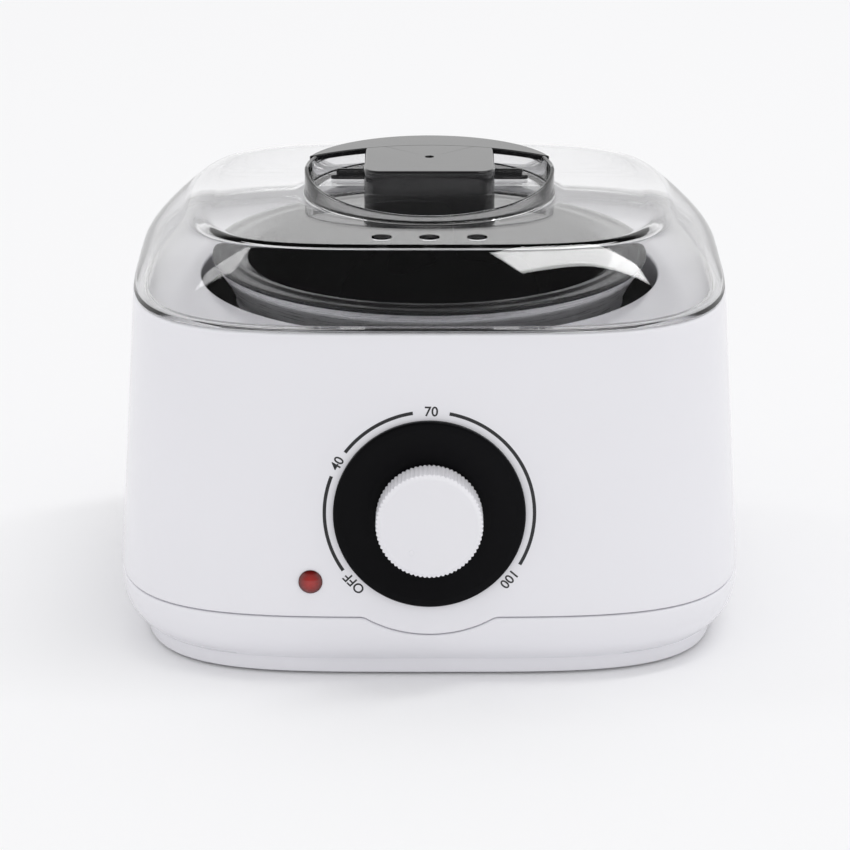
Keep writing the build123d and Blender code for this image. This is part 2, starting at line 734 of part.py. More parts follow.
bar_low = lid_top + fit_gap
bar_length = ring_radius + bar_front
inside_ring = ring_radius - ring_wall - slide_gap
bar_middle = (0, bar_length / 2 - bar_front)
with BuildPart() as lid_handle:
    with BuildSketch(Plane.XY.offset(bar_low)):
        with Locations(bar_middle):
            RectangleRounded(bar_width, bar_length, bar_corner)
        Circle(inside_ring, mode=Mode.INTERSECT)
    extrude(amount=handle_top - bar_low)
    fillet(lid_handle.faces().sort_by(Axis.Z)[-1].edges(), edge_round)
    with BuildSketch(Plane.XY.offset(bar_low)):
        with Locations(bar_middle):
            Rectangle(bar_width - 2 * handle_wall, bar_length - 2 * handle_wall)
        Circle(inside_ring - handle_wall, mode=Mode.INTERSECT)
    extrude(amount=handle_top - handle_wall - bar_low, mode=Mode.SUBTRACT)
    with BuildSketch(Plane.XY.offset(bar_low)):
        with Locations(*handle_screw_points):
            Circle(small_head_radius + slide_gap)
    extrude(amount=handle_top - handle_wall - bar_low)
    with BuildSketch(Plane.XY.offset(bar_low)):
        with Locations((0, strip_front + strip_depth / 2)):
            RectangleRounded(2 * strip_half_length, strip_depth, strip_corner)
        Circle(inside_ring, mode=Mode.INTERSECT)
    extrude(amount=strip_thickness)
    with BuildSketch(Plane.XY.offset(bar_low)):
        with Locations((0, strip_front + strip_depth - ridge_width / 2)):
            Rectangle(2 * (strip_half_length - strip_corner), ridge_width)
    extrude(amount=ridge_height)
    with BuildSketch(Plane.XY.offset(hoop_low)):
        Circle(hoop_radius)
        with Locations((0, -hoop_eye_offset)):
            Circle(hoop_eye_radius, mode=Mode.SUBTRACT)
        with Locations((0, hoop_y)):
            Rectangle(3 * ring_radius, 2 * ring_radius, align=(Align.CENTER, Align.MIN), mode=Mode.INTERSECT)
    extrude(amount=hoop_thickness)
    holes(handle_screw_points, bar_low, handle_screw_length - lid_wall, small_screw_radius + pilot_gap)
    holes([(0, steam_hole_offset)], handle_top - steam_hole_depth, steam_hole_depth, steam_hole_radius)
lid_handle.part.label = "lid_handle"
export_step(lid_handle.part, "parts/lid_handle.step")

with BuildPart() as handle_screws:
    screws(
        handle_screw_points, lid_under, handle_screw_length - fit_gap, small_screw_radius,
        small_head_radius, small_head_height,
    )
handle_screws.part.label = "handle_screws"
export_step(handle_screws.part, "parts/handle_screws.step")

# ---------------------------------------------------------------- thermostat, bezel and knob
body_top = -(shell_wall + fit_gap + plate_thickness)
plate_top = -(shell_wall + fit_gap)
body_low = body_top - thermostat_depth
well_low = -shaft_root - fit_gap
bezel_bore = bushing_radius + slide_gap
bezel_profile = [
    (bezel_bore, fit_gap - bezel_pocket),
    (bezel_radius, fit_gap - bezel_pocket),
    (bezel_radius, bezel_rim_height),
    (bezel_radius - bezel_rim_height, bezel_rim_height),
    (bezel_dish_radius, bezel_floor_height),
    (bezel_bore, bezel_floor_height),
]
with BuildPart() as dial_bezel:
    revolve(turned(dial_profile, bezel_profile, [(2, edge_round)]), axis=dial_axis)
dial_bezel.part.label = "dial_bezel"
export_step(dial_bezel.part, "parts/dial_bezel.step")

half_wide = thermostat_width / 2
half_high = thermostat_height / 2
with BuildPart() as thermostat_body:
    block((-half_wide, -half_high, body_low), (half_wide, half_high, body_top), plane=dial_plane)
    fillet(thermostat_body.edges(), edge_round)
    block(
        (-half_wide - plate_margin, -half_high, body_top - edge_round),
        (half_wide + plate_margin, half_high, plate_top),
        plane=dial_plane,
    )
    with BuildSketch(dial_plane.offset(plate_top)):
        Circle(bushing_radius)
    extrude(amount=bushing_reach - plate_top)
    with BuildSketch(dial_plane.offset(well_low)):
        Circle(shaft_radius + shaft_gap)
    extrude(amount=bushing_reach - well_low, mode=Mode.SUBTRACT)
thermostat_body.part.label = "thermostat_body"
export_step(thermostat_body.part, "parts/thermostat_body.step")

tab_points = [(side * half_wide / 2, (body_low + body_top) / 2) for side in (-1, 1)]
with BuildPart() as thermostat_tabs:
    for x, z in tab_points:
        block(
            (x - tab_width / 2, -half_high - tab_length, z - tab_thickness / 2),
            (x + tab_width / 2, -half_high, z + tab_thickness / 2),
            plane=dial_plane,
        )
thermostat_tabs.part.label = "thermostat_tabs"
export_step(thermostat_tabs.part, "parts/thermostat_tabs.step")

with BuildPart() as thermostat_nut:
    with BuildSketch(dial_plane.offset(bezel_floor_height)):
        RegularPolygon(nut_across_flats / 2, 6, major_radius=False)
        Circle(bushing_radius + fit_gap, mode=Mode.SUBTRACT)
    extrude(amount=nut_thickness)
thermostat_nut.part.label = "thermostat_nut"
export_step(thermostat_nut.part, "parts/thermostat_nut.step")

with BuildPart() as thermostat_shaft:
    with BuildSketch(dial_plane.offset(-shaft_root)):
        Circle(shaft_radius)
    extrude(amount=shaft_reach + shaft_root)
    block(
        (-shaft_radius, shaft_flat, hub_base),
        (shaft_radius, shaft_radius, shaft_reach),
        mode=Mode.SUBTRACT,
        plane=dial_plane,
    )
thermostat_shaft.part.label = "thermostat_shaft"
export_step(thermostat_shaft.part, "parts/thermostat_shaft.step")

bevel_low = knob_face - knob_bevel
cap_profile = [
    (0, bevel_low),
    (knob_core_radius, bevel_low),
    (knob_core_radius - knob_bevel, knob_face),
    (0, knob_face),
]
marker_spot = (marker_offset * cos(radians(marker_angle)), marker_offset * sin(radians(marker_angle)))
with BuildPart() as knob:
    with BuildSketch(dial_plane.offset(knob_base)):
        Circle(knob_core_radius)
        with PolarLocations(knob_core_radius, knurl_count):
            Circle(knurl_radius)
    extrude(amount=bevel_low - knob_base)
    revolve(turned(dial_profile, cap_profile), axis=dial_axis)
    with BuildSketch(dial_plane.offset(knob_base)):
        Circle(knob_cavity_radius)
    extrude(amount=knob_ceiling - knob_base, mode=Mode.SUBTRACT)
    with BuildSketch(dial_plane.offset(hub_base)):
        Circle(hub_radius)
        Circle(insert_radius + fit_gap, mode=Mode.SUBTRACT)
    extrude(amount=knob_ceiling - hub_base)
    with BuildSketch(dial_plane.offset(knob_face - marker_depth)):
        with Locations(marker_spot):
            Circle(marker_radius + fit_gap)
    extrude(amount=marker_depth, mode=Mode.SUBTRACT)
knob.part.label = "knob"
export_step(knob.part, "parts/knob.step")

with BuildPart() as knob_insert:
    with BuildSketch(dial_plane.offset(hub_base)):
        Circle(insert_radius)
        with BuildSketch(mode=Mode.PRIVATE) as d_hole:
            Circle(shaft_radius + fit_gap)
            with Locations((0, shaft_flat + fit_gap)):
                Rectangle(
                    4 * shaft_radius, 2 * shaft_radius, align=(Align.CENTER, Align.MIN), mode=Mode.SUBTRACT
                )
        add(d_hole.sketch, mode=Mode.SUBTRACT)
    extrude(amount=knob_ceiling - fit_gap - hub_base)
knob_insert.part.label = "knob_insert"
export_step(knob_insert.part, "parts/knob_insert.step")

with BuildPart() as knob_marker:
    with BuildSketch(dial_plane.offset(knob_face - marker_depth)):
        with Locations(marker_spot):
            Circle(marker_radius)
    extrude(amount=marker_depth)
knob_marker.part.label = "knob_marker"
export_step(knob_marker.part, "parts/knob_marker.step")

# ---------------------------------------------------------------- lamp
barrel_low = -(shell_wall + lens_radius - lens_barrel)
with BuildPart() as lamp_lens:
    with BuildSketch(lamp_profile) as lens_face:
        with BuildLine():
            Polyline(
                (0, lens_dome),
                (0, barrel_low),
                (lens_barrel, barrel_low),
                (lens_barrel, -lens_pocket),
                (lens_radius, -lens_pocket),
                (lens_radius, lens_edge),
            )
            TangentArc((0, lens_dome), (lens_radius, lens_edge), tangent=(1, 0))
        make_face()
    revolve(lens_face.sketch, axis=lamp_axis)
lamp_lens.part.label = "lamp_lens"
export_step(lamp_lens.part, "parts/lamp_lens.step")

holder_top = -(shell_wall + fit_gap)
with BuildPart() as lamp_holder:
    with BuildSketch(lamp_plane.offset(holder_top - holder_length)):
        Circle(holder_radius)
        Circle(lens_barrel + fit_gap, mode=Mode.SUBTRACT)
    extrude(amount=holder_length)
lamp_holder.part.label = "lamp_holder"
export_step(lamp_holder.part, "parts/lamp_holder.step")

bulb_top = barrel_low - slide_gap
bulb_low = holder_top - holder_length
with BuildPart() as lamp_bulb:
    with BuildSketch(lamp_plane.offset(bulb_low)):
        Circle(lens_barrel)
    extrude(amount=holder_length / 3)
    with BuildSketch(lamp_plane.offset(bulb_low)):
        Circle(bulb_radius)
    extrude(amount=bulb_top - bulb_low)
    fillet(lamp_bulb.edges().sort_by(lamp_axis)[-1], bulb_radius / 2)
lamp_bulb.part.label = "lamp_bulb"
export_step(lamp_bulb.part, "parts/lamp_bulb.step")

# ---------------------------------------------------------------- wiring
terminal_top = cover_top + terminal_height
wire_holes = [
    (step * terminal_pitch, terminal_offset + row * terminal_row) for step in (-1, 0, 1) for row in (-1, 1)
]
with BuildPart() as terminal_block:
    with Locations((0, terminal_offset, cover_top)):
        Box(terminal_length, terminal_width, terminal_height, align=upright)
    fillet(terminal_block.edges().group_by(Axis.Z)[-1], edge_round)
    holes(wire_holes, terminal_top - terminal_hole_depth, terminal_hole_depth, wire_radius + slide_gap)
terminal_block.part.label = "terminal_block"
export_step(terminal_block.part, "parts/terminal_block.step")

inlet_profile = [
    (inlet_bore_radius, -inlet_reach),
    (inlet_body_radius, -inlet_reach),
    (inlet_body_radius, 0),
    (inlet_flange_radius, 0),
    (inlet_flange_radius, inlet_flange),
    (inlet_body_radius, inlet_flange),
    (sleeve_end_radius, sleeve_reach),
    (inlet_bore_radius, sleeve_reach),
]
with BuildPart() as cord_inlet:
    revolve(turned(rear_profile, inlet_profile), axis=rear_axis)
cord_inlet.part.label = "cord_inlet"
export_step(cord_inlet.part, "parts/cord_inlet.step")

with BuildPart() as inlet_nut:
    with BuildSketch(rear_plane.offset(-shell_wall - fit_gap - inlet_nut_thickness)):
        RegularPolygon(nut_across_flats / 2, 6, major_radius=False)
        Circle(inlet_body_radius + fit_gap, mode=Mode.SUBTRACT)
    extrude(amount=inlet_nut_thickness)
inlet_nut.part.label = "inlet_nut"
export_step(inlet_nut.part, "parts/inlet_nut.step")

hole_floor = terminal_top - terminal_hole_depth + wire_radius
row_rear = terminal_offset + terminal_row
row_front = terminal_offset - terminal_row
inlet_inside = rear_y - inlet_reach - slide_gap
tab_foot = (dial_plane.location * Pos(tab_points[0][0], -half_high - tab_length, tab_points[0][1])).position
tab_y = tab_foot.Y
tab_low = tab_foot.Z - wire_radius - fit_gap
tab_x = half_wide / 2
lamp_back = (lamp_plane.location * Pos(0, 0, bulb_low - slide_gap)).position
lug_x = lug_face + wire_radius + fit_gap
fuse_end = fuse_length / 2 + slide_gap
fuse_middle = fuse_low + fuse_height / 2
over_rim = shield_height + shield_rim + wire_radius + 1
wire_runs = {
    "supply_wire_live": [
        (-inlet_bore_radius / 2, inlet_inside, inlet_height),
        (-terminal_pitch, row_rear, inlet_height - wire_radius),
        (-terminal_pitch, row_rear, hole_floor),
    ],
    "supply_wire_neutral": [
        (inlet_bore_radius / 2, inlet_inside, inlet_height),
        (terminal_pitch, row_rear, inlet_height - wire_radius),
        (terminal_pitch, row_rear, hole_floor),
    ],
    "thermostat_wire": [
        (-terminal_pitch, row_front, hole_floor),
        (-terminal_pitch, row_front, over_rim + wire_bend / 2),
        (-38, 30, over_rim),
        (-38, -30, over_rim),
        (-14, -64, over_rim),
        (-tab_x, tab_y, tab_low),
    ],
    "fuse_feed_wire": [
        (tab_x, tab_y, tab_low),
        (tab_x, -58, over_rim),
        (-22, -42, over_rim),
        (-22, fuse_y, fuse_middle),
        (-fuse_end, fuse_y, fuse_middle),
    ],
    "heater_feed_wire": [
        (fuse_end, fuse_y, fuse_middle),
        (24, fuse_y, fuse_middle),
        (24, 46, over_rim + 1),
        (14, 68, 36),
        (lug_x, bolt_y, heater_low),
    ],
    "heater_return_wire": [
        (0, row_front, hole_floor),
        (0, row_front, terminal_top + wire_bend),
        (-8, 68, 36),
        (-lug_x, bolt_y, heater_low),
    ],
    "lamp_wire": [
        (lamp_back.X, lamp_back.Y, lamp_back.Z),
        (lamp_back.X, -53, lamp_back.Z + 2),
        (-18, -53, lamp_back.Z + 2),
        (-tab_x - tab_width / 2 - wire_radius - fit_gap, tab_y, tab_foot.Z + tab_length / 2),
    ],
}
for name, points in wire_runs.items():
    run = wire(points)
    run.label = name
    export_step(run, f"parts/{name}.step")
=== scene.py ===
import math

import bpy
import numpy as np
from mathutils import Matrix, Vector


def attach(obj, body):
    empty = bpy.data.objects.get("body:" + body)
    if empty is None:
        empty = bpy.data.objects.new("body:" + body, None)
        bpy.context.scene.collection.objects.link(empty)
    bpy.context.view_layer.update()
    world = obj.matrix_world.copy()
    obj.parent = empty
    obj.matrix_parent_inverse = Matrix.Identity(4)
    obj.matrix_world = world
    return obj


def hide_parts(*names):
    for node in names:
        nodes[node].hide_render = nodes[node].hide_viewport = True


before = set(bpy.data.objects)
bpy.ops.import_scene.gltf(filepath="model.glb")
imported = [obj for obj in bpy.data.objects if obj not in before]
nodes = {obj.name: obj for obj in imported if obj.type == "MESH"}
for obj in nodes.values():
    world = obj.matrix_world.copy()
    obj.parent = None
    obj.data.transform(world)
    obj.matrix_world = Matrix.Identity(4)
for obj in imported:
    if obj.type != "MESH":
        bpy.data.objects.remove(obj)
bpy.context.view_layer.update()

mm = 0.001
fullTurn = 2 * math.pi

# Sizes shared by the body pieces, in millimetres.
body = {
    "width": 180.0,
    "depth": 165.0,
    "power": 4.0,
    "seam": 20.2,
    "rim": 101.2,
    "trayBottom": 5.4,
    "lean": 5.0,
    "tuck": 6.2,
    "curl": 3.0,
    "around": 720,
}
dial = {"height": 50.3, "dipRadius": 35.3, "dipFillet": 4.0}
lampSpot = (-33.1, -81.1, 30.5)
inletHeight = 32.0
fineEdge = 0.2  # radii of small roundings
softEdge = 0.3
axisGap = 0.5  # turned sections start this far from their axis

# The camera stands in front and looks a little down.
photoView = {
    "distance": 1.1, "elevation": 18.57, "aim": 0.0491, "lens": 156.57, "shift": -0.0052,
}


def linked(name, data):
    made = bpy.data.objects.new(name, data)
    bpy.context.collection.objects.link(made)
    return made


def placeCamera():
    rise = math.radians(photoView["elevation"])
    data = bpy.data.cameras.new("studioCamera")
    data.lens = photoView["lens"]
    data.sensor_width = 36.0
    data.shift_x = photoView["shift"]
    data.clip_start = 0.05
    data.clip_end = 60.0
    camera = linked("studioCamera", data)
    back = photoView["distance"] * math.cos(rise)
    up = photoView["distance"] * math.sin(rise)
    camera.location = (0.0, -back, photoView["aim"] + up)
    camera.rotation_euler = (math.pi / 2 - rise, 0.0, 0.0)
    bpy.context.scene.camera = camera


placeCamera()
print("camera placed")


def startMaterial(name):
    material = bpy.data.materials.new(name)
    material.use_nodes = True
    tree = material.node_tree
    shader = tree.nodes["Principled BSDF"]
    place = tree.nodes.new("ShaderNodeTexCoord")
    return material, tree, shader, place.outputs["Object"]


def setInputs(node, values):
    for name, value in values.items():
        node.inputs[name].default_value = value


def noise(tree, place, scale, detail=2.0, roughness=0.5):
    node = tree.nodes.new("ShaderNodeTexNoise")
    setInputs(node, {"Scale": scale, "Detail": detail, "Roughness": roughness})
    tree.links.new(place, node.inputs["Vector"])
    return node.outputs["Fac"]


noiseSpan = (0.3, 0.7)  # most values of a noise lie between these


def tinted(tree, shader, amount, low, high, span=noiseSpan):
    ramp = tree.nodes.new("ShaderNodeValToRGB")
    for stop, position, colour in zip(ramp.color_ramp.elements, span, (low, high)):
        stop.position = position
        stop.color = (*colour, 1)
    tree.links.new(amount, ramp.inputs["Fac"])
    tree.links.new(ramp.outputs["Color"], shader.inputs["Base Color"])


def spread(tree, shader, socket, amount, low, high):
    node = tree.nodes.new("ShaderNodeMapRange")
    for limit, value in zip(node.inputs[1:5], (*noiseSpan, low, high)):
        limit.default_value = value
    tree.links.new(amount, node.inputs["Value"])
    tree.links.new(node.outputs["Result"], shader.inputs[socket])


def bumped(tree, shader, amount, strength, depth):
    node = tree.nodes.new("ShaderNodeBump")
    setInputs(node, {"Strength": strength, "Distance": depth})
    tree.links.new(amount, node.inputs["Height"])
    tree.links.new(node.outputs["Normal"], shader.inputs["Normal"])


def plasticMaterial(name, low, high, rough, grain, depth, coat=0.0, gloss=0.5):
    # Cloudy noise shifts the colour and gloss a little; fine noise gives the moulded skin.
    material, tree, shader, place = startMaterial(name)
    cloud = noise(tree, place, 14.0, 3.0)
    tinted(tree, shader, cloud, low, high)
    spread(tree, shader, "Roughness", noise(tree, place, 55.0, 4.0), *rough)
    bumped(tree, shader, noise(tree, place, grain, 4.0, 0.6), 0.25, depth)
    setInputs(shader, {"IOR": 1.5, "Specular IOR Level": gloss})
    setInputs(shader, {"Coat Weight": coat, "Coat Roughness": 0.04})
    return material


def metalMaterial(name, low, high, rough, grain, stretch, depth, metal=1.0):
    # Noise stretched round the upright axis gives turning and brushing lines.
    material, tree, shader, place = startMaterial(name)
    mapping = tree.nodes.new("ShaderNodeMapping")
    mapping.inputs["Scale"].default_value = stretch
    tree.links.new(place, mapping.inputs["Vector"])
    lines = noise(tree, mapping.outputs["Vector"], grain, 5.0, 0.65)
    tinted(tree, shader, lines, low, high)
    spread(tree, shader, "Roughness", lines, *rough)
    bumped(tree, shader, lines, 0.2, depth)
    shader.inputs["Metallic"].default_value = metal
    return material


def clearMaterial(name, colour, rough, refraction, grain, depth):
    # A clear moulding: full transmission, with a faint waviness in its skin.
    material, tree, shader, place = startMaterial(name)
    setInputs(shader, {"Base Color": (*colour, 1), "Transmission Weight": 1.0, "IOR": refraction})
    spread(tree, shader, "Roughness", noise(tree, place, 30.0, 3.0), *rough)
    bumped(tree, shader, noise(tree, place, grain, 2.0), 0.15, depth)
    return material


def paintedGlowLensMaterial(name, rim, middle, centre, radius):
    # Painted shade and glow: the colour goes from a dark rim, which is painted shade, to a bright middle,
    # which is a painted glow from inside the lens, with the distance from the lens's centre.
    material, tree, shader, place = startMaterial(name)
    mapping = tree.nodes.new("ShaderNodeMapping")
    size = 1 / (radius * mm)
    shift = [-value * mm * size for value in centre]
    setInputs(mapping, {"Scale": (size, size, size), "Location": shift})
    tree.links.new(place, mapping.inputs["Vector"])
    ball = tree.nodes.new("ShaderNodeTexGradient")
    ball.gradient_type = "SPHERICAL"
    tree.links.new(mapping.outputs["Vector"], ball.inputs["Vector"])
    # Painted shade at the rim, painted glow in the middle.
    tinted(tree, shader, ball.outputs["Fac"], rim, middle, (0.02, 0.75))
    spread(tree, shader, "Roughness", noise(tree, place, 300.0, 3.0), 0.1, 0.18)
    setInputs(shader, {"Coat Weight": 0.5, "Coat Roughness": 0.03})
    return material


# Darkest and lightest colour, roughness, grain and its depth in metres; then coat and gloss.
plastics = {
    "shellWhite": ((0.85, 0.845, 0.885), (0.87, 0.865, 0.905), (0.2, 0.27), 900.0, 0.00003, 0.25),
    "knobWhite": ((0.83, 0.825, 0.865), (0.86, 0.855, 0.89), (0.3, 0.38), 1400.0, 0.00004, 0.1),
    "handleBlack": ((0.008, 0.008, 0.009), (0.014, 0.014, 0.015), (0.1, 0.18), 1200.0, 0.00002, 0.45),
    # The seal ring is black rubber, made darker and duller still as painted shade, so the gap round the bowl
    # reads dark.
    "sealRubberAndShade": ((0.004, 0.004, 0.004), (0.008, 0.008, 0.008), (0.6, 0.75), 700.0, 0.00008, 0.0, 0.02),
    "footRubber": ((0.05, 0.05, 0.05), (0.08, 0.08, 0.08), (0.65, 0.8), 900.0, 0.0001),
    "innerPlastic": ((0.05, 0.05, 0.05), (0.08, 0.08, 0.08), (0.45, 0.6), 900.0, 0.00006),
    "printBlack": ((0.012, 0.012, 0.014), (0.022, 0.022, 0.025), (0.45, 0.55), 2000.0, 0.00001),
    "bezelBlack": ((0.002, 0.002, 0.0026), (0.004, 0.004, 0.005), (0.3, 0.4), 1400.0, 0.00003, 0.0, 0.08),
    "potCoat": ((0.012, 0.012, 0.013), (0.02, 0.02, 0.021), (0.16, 0.26), 500.0, 0.00003),
    "sleeveRubber": ((0.74, 0.74, 0.75), (0.79, 0.79, 0.8), (0.5, 0.6), 900.0, 0.00006),
    "wrapFelt": ((0.6, 0.58, 0.52), (0.78, 0.75, 0.69), (0.85, 0.95), 420.0, 0.0006),
    "heaterMica": ((0.2, 0.18, 0.15), (0.3, 0.27, 0.23), (0.45, 0.6), 500.0, 0.0001),
    "ceramic": ((0.7, 0.67, 0.61), (0.78, 0.75, 0.7), (0.45, 0.6), 900.0, 0.00008),
    "wireBrown": ((0.09, 0.035, 0.012), (0.12, 0.05, 0.02), (0.4, 0.5), 900.0, 0.00003),
    "wireBlue": ((0.01, 0.04, 0.22), (0.02, 0.06, 0.28), (0.4, 0.5), 900.0, 0.00003),
    "wireWhite": ((0.62, 0.6, 0.54), (0.74, 0.72, 0.66), (0.7, 0.8), 1500.0, 0.0002),
}
# The same for metals, with the stretch of the grain before its depth; then how metallic.
metals = {
    "bowlAlloy": ((0.88, 0.88, 0.9), (0.94, 0.94, 0.95), (0.24, 0.34), 60.0, (1, 1, 40), 0.00003, 0.35),
    "steel": ((0.5, 0.5, 0.52), (0.62, 0.62, 0.63), (0.25, 0.38), 300.0, (1, 1, 4), 0.00003),
    "brass": ((0.62, 0.42, 0.16), (0.72, 0.52, 0.24), (0.22, 0.35), 300.0, (1, 1, 4), 0.00003),
}
# Colour, roughness, refraction, grain and its depth.
clears = {
    "lidClear": ((0.995, 0.995, 1.0), (0.01, 0.025), 1.5, 25.0, 0.00004),
    "bulbGlass": ((0.97, 0.85, 0.75), (0.03, 0.06), 1.45, 300.0, 0.00002),
}
# The lens's colours: painted shade at the rim and a painted glow in the middle.
lensShadeAndGlowColours = ((0.06, 0.002, 0.002), (0.58, 0.02, 0.015))  # at the rim and in the middle
finishes = {name: plasticMaterial(name, *values) for name, values in plastics.items()}
finishes.update({name: metalMaterial(name, *values) for name, values in metals.items()})
finishes.update({name: clearMaterial(name, *values) for name, values in clears.items()})
finishes["lensRed"] = paintedGlowLensMaterial("lensRed", *lensShadeAndGlowColours, lampSpot, 3.5)
print("materials made")


def meshPiece(name, vertices, faces, finish, slot, rider, stands=(), sharp=38.0):
    mesh = bpy.data.meshes.new(name)
    mesh.from_pydata(vertices * mm, [], faces)
    mesh.materials.append(finishes[finish])
    mesh.shade_smooth()
    mesh.set_sharp_from_angle(angle=math.radians(sharp))
    piece = linked(name, mesh)
    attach(piece, rider)
    if stands:
        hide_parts(*stands)
    return piece


def signedVolume(vertices, quads):
    # Sum over faces of the box product of three corners, with each four-sided face cut in two.
    a, b, c, d = (vertices[quads[:, k]] for k in range(4))
    first = np.einsum("ij,ij->i", a, np.cross(b, c))
    second = np.einsum("ij,ij->i", a, np.cross(c, d))
    return (first + second).sum()


def gridFaces(rows, cols, joined):
    # Each face joins a grid point to its neighbours along the row and in the next row.
    top = rows if joined else rows - 1
    row, col = np.meshgrid(np.arange(top), np.arange(cols), indexing="ij")
    nextRow = (row + 1) % rows
    nextCol = (col + 1) % cols
    corners = (row * cols + col, row * cols + nextCol, nextRow * cols + nextCol, nextRow * cols + col)
    return np.stack([corner.ravel() for corner in corners], axis=1)


def closedSurface(name, grid, ends, *skin):
    # A grid of rows by columns, closed along each row. Its ends are joined to each other, or each
    # is closed by a fan to the middle of its last row. The skin is what meshPiece takes last.
    rows, cols = grid.shape[:2]
    vertices = grid.reshape(-1, 3)
    quads = gridFaces(rows, cols, ends == "joined")
    if ends == "joined":
        way = -1 if signedVolume(vertices, quads) < 0 else 1
        return meshPiece(name, vertices, quads[:, ::way].tolist(), *skin)
    first = vertices[:cols].mean(axis=0)
    last = vertices[-cols:].mean(axis=0)
    vertices = np.vstack([vertices, first, last])
    col = np.arange(cols)
    nextCol = (col + 1) % cols
    base = (rows - 1) * cols
    firstPole = np.full(cols, rows * cols)
    fanFirst = np.stack([nextCol, col, firstPole, firstPole], axis=1)
    fanLast = np.stack([base + col, base + nextCol, firstPole + 1, firstPole + 1], axis=1)
    every = np.vstack([quads, fanFirst, fanLast])
    way = -1 if signedVolume(vertices, every) < 0 else 1
    fans = np.vstack([fanFirst, fanLast])[:, :3]
    faces = quads[:, ::way].tolist() + fans[:, ::way].tolist()
    return meshPiece(name, vertices, faces, *skin)


def roundedPath(corners, steps=7):
    # A path of straight runs; each corner (x, y, radius) becomes an arc that touches both runs.
    path = []
    count = len(corners)
    for index, (x, y, radius) in enumerate(corners):
        here = np.array((x, y), float)
        if radius <= 0 or index in (0, count - 1):
            path.append(here[None])
            continue
        before = np.array(corners[index - 1][:2], float) - here
        after = np.array(corners[index + 1][:2], float) - here
        before /= np.linalg.norm(before)
        after /= np.linalg.norm(after)
        half = math.acos(np.clip(before @ after, -1, 1)) / 2
        reach = radius / math.tan(half)
        middle = (before + after) / np.linalg.norm(before + after)
        centre = here + middle * radius / math.sin(half)
        start = here + before * reach - centre
        end = here + after * reach - centre
        share = np.linspace(0, 1, steps)[:, None]
        turn = math.acos(np.clip(start @ end / radius**2, -1, 1))
        arc = (np.sin((1 - share) * turn) * start + np.sin(share * turn) * end) / math.sin(turn)
        path.append(centre + arc)
    return np.vstack(path)


def divided(path, longest):
    # Long runs of a path are split, so that no step is longer than the given length.
    parts = [path[:1]]
    for start, end in zip(path[:-1], path[1:]):
        count = max(1, math.ceil(np.linalg.norm(end - start) / longest))
        share = np.linspace(0, 1, count + 1)[1:, None]
        parts.append(start + (end - start) * share)
    return np.vstack(parts)


angles = np.arange(body["around"]) * fullTurn / body["around"] - math.pi / 2
circleX = np.cos(angles)[None]
circleY = np.sin(angles)[None]


def bodyLoops(inset, circle=None, weight=None):
    # |x/a|^p + |y/b|^p = 1 along each angle, with a and b less the inset. Where a weight is given, the
    # loop is mixed with a circle.
    halfX = body["width"] / 2 - inset
    halfY = body["depth"] / 2 - inset
    power = body["power"]
    reach = (np.abs(circleX / halfX) ** power + np.abs(circleY / halfY) ** power) ** (-1 / power)
    if weight is not None:
        reach = reach * (1 - weight) + circle * weight
    return reach * circleX, reach * circleY


def wallInset(height):
    # Above the seam the wall leans in evenly; below it the inset grows with the third power.
    above = body["lean"] * (height - body["seam"]) / (body["rim"] - body["seam"])
    fall = np.clip(body["seam"] - height, 0, None) / (body["seam"] - body["trayBottom"])
    return np.where(height >= body["seam"], above, body["tuck"] * fall ** body["curl"])


def seamLine():
    # The seam dips round the dial: a circle about the dial, joined to the level line by a fillet on
    # each side.
    x = np.abs(bodyLoops(np.zeros((1, 1)))[0][0])
    front = circleY[0] < 0
    radius, fillet = dial["dipRadius"], dial["dipFillet"]
    drop = dial["height"] - body["seam"] + fillet
    centre = math.sqrt((radius + fillet) ** 2 - drop**2)
    meet = centre * radius / (radius + fillet)
    dip = dial["height"] - np.sqrt(np.clip(radius**2 - x**2, 0, None))
    ease = body["seam"] - fillet + np.sqrt(np.clip(fillet**2 - (x - centre) ** 2, 0, None))
    line = np.where(x < meet, dip, np.where(x < centre, ease, body["seam"]))
    return np.where(front, line, body["seam"])[None]


seam = seamLine()


def rounding(count, radius):
    # Steps along a quarter round: how far each lies from the two flats that it joins.
    turn = np.linspace(0, math.pi / 2, count)
    return np.column_stack([radius * (1 - np.cos(turn)), radius * (1 - np.sin(turn))])


def stack(rows):
    # Rows of (inset, height, circle, weight), or without the last two; each value may be a number
    # or an array round the body.
    shape = (len(rows), body["around"])
    table = np.zeros((4, *shape))
    for index, row in enumerate(rows):
        for item, value in enumerate(row):
            table[item, index] = value
    x, y = bodyLoops(table[0], table[2], table[3])
    return np.dstack([x, y, table[1]])


# Upper shell: wall, rim, deck and the collar round the opening.
shell = {
    "wall": 2.6,
    "seamRound": 0.5,
    "rimWidth": 3.2,
    "rimRound": 1.0,
    "deck": 97.4,
    "deckUnder": 94.8,
    "deckRound": 0.4,
    "opening": 67.0,
    "openingRound": 0.8,
    "collar": 69.4,
    "collarFoot": 84.2,
    "wallRows": 30,
}


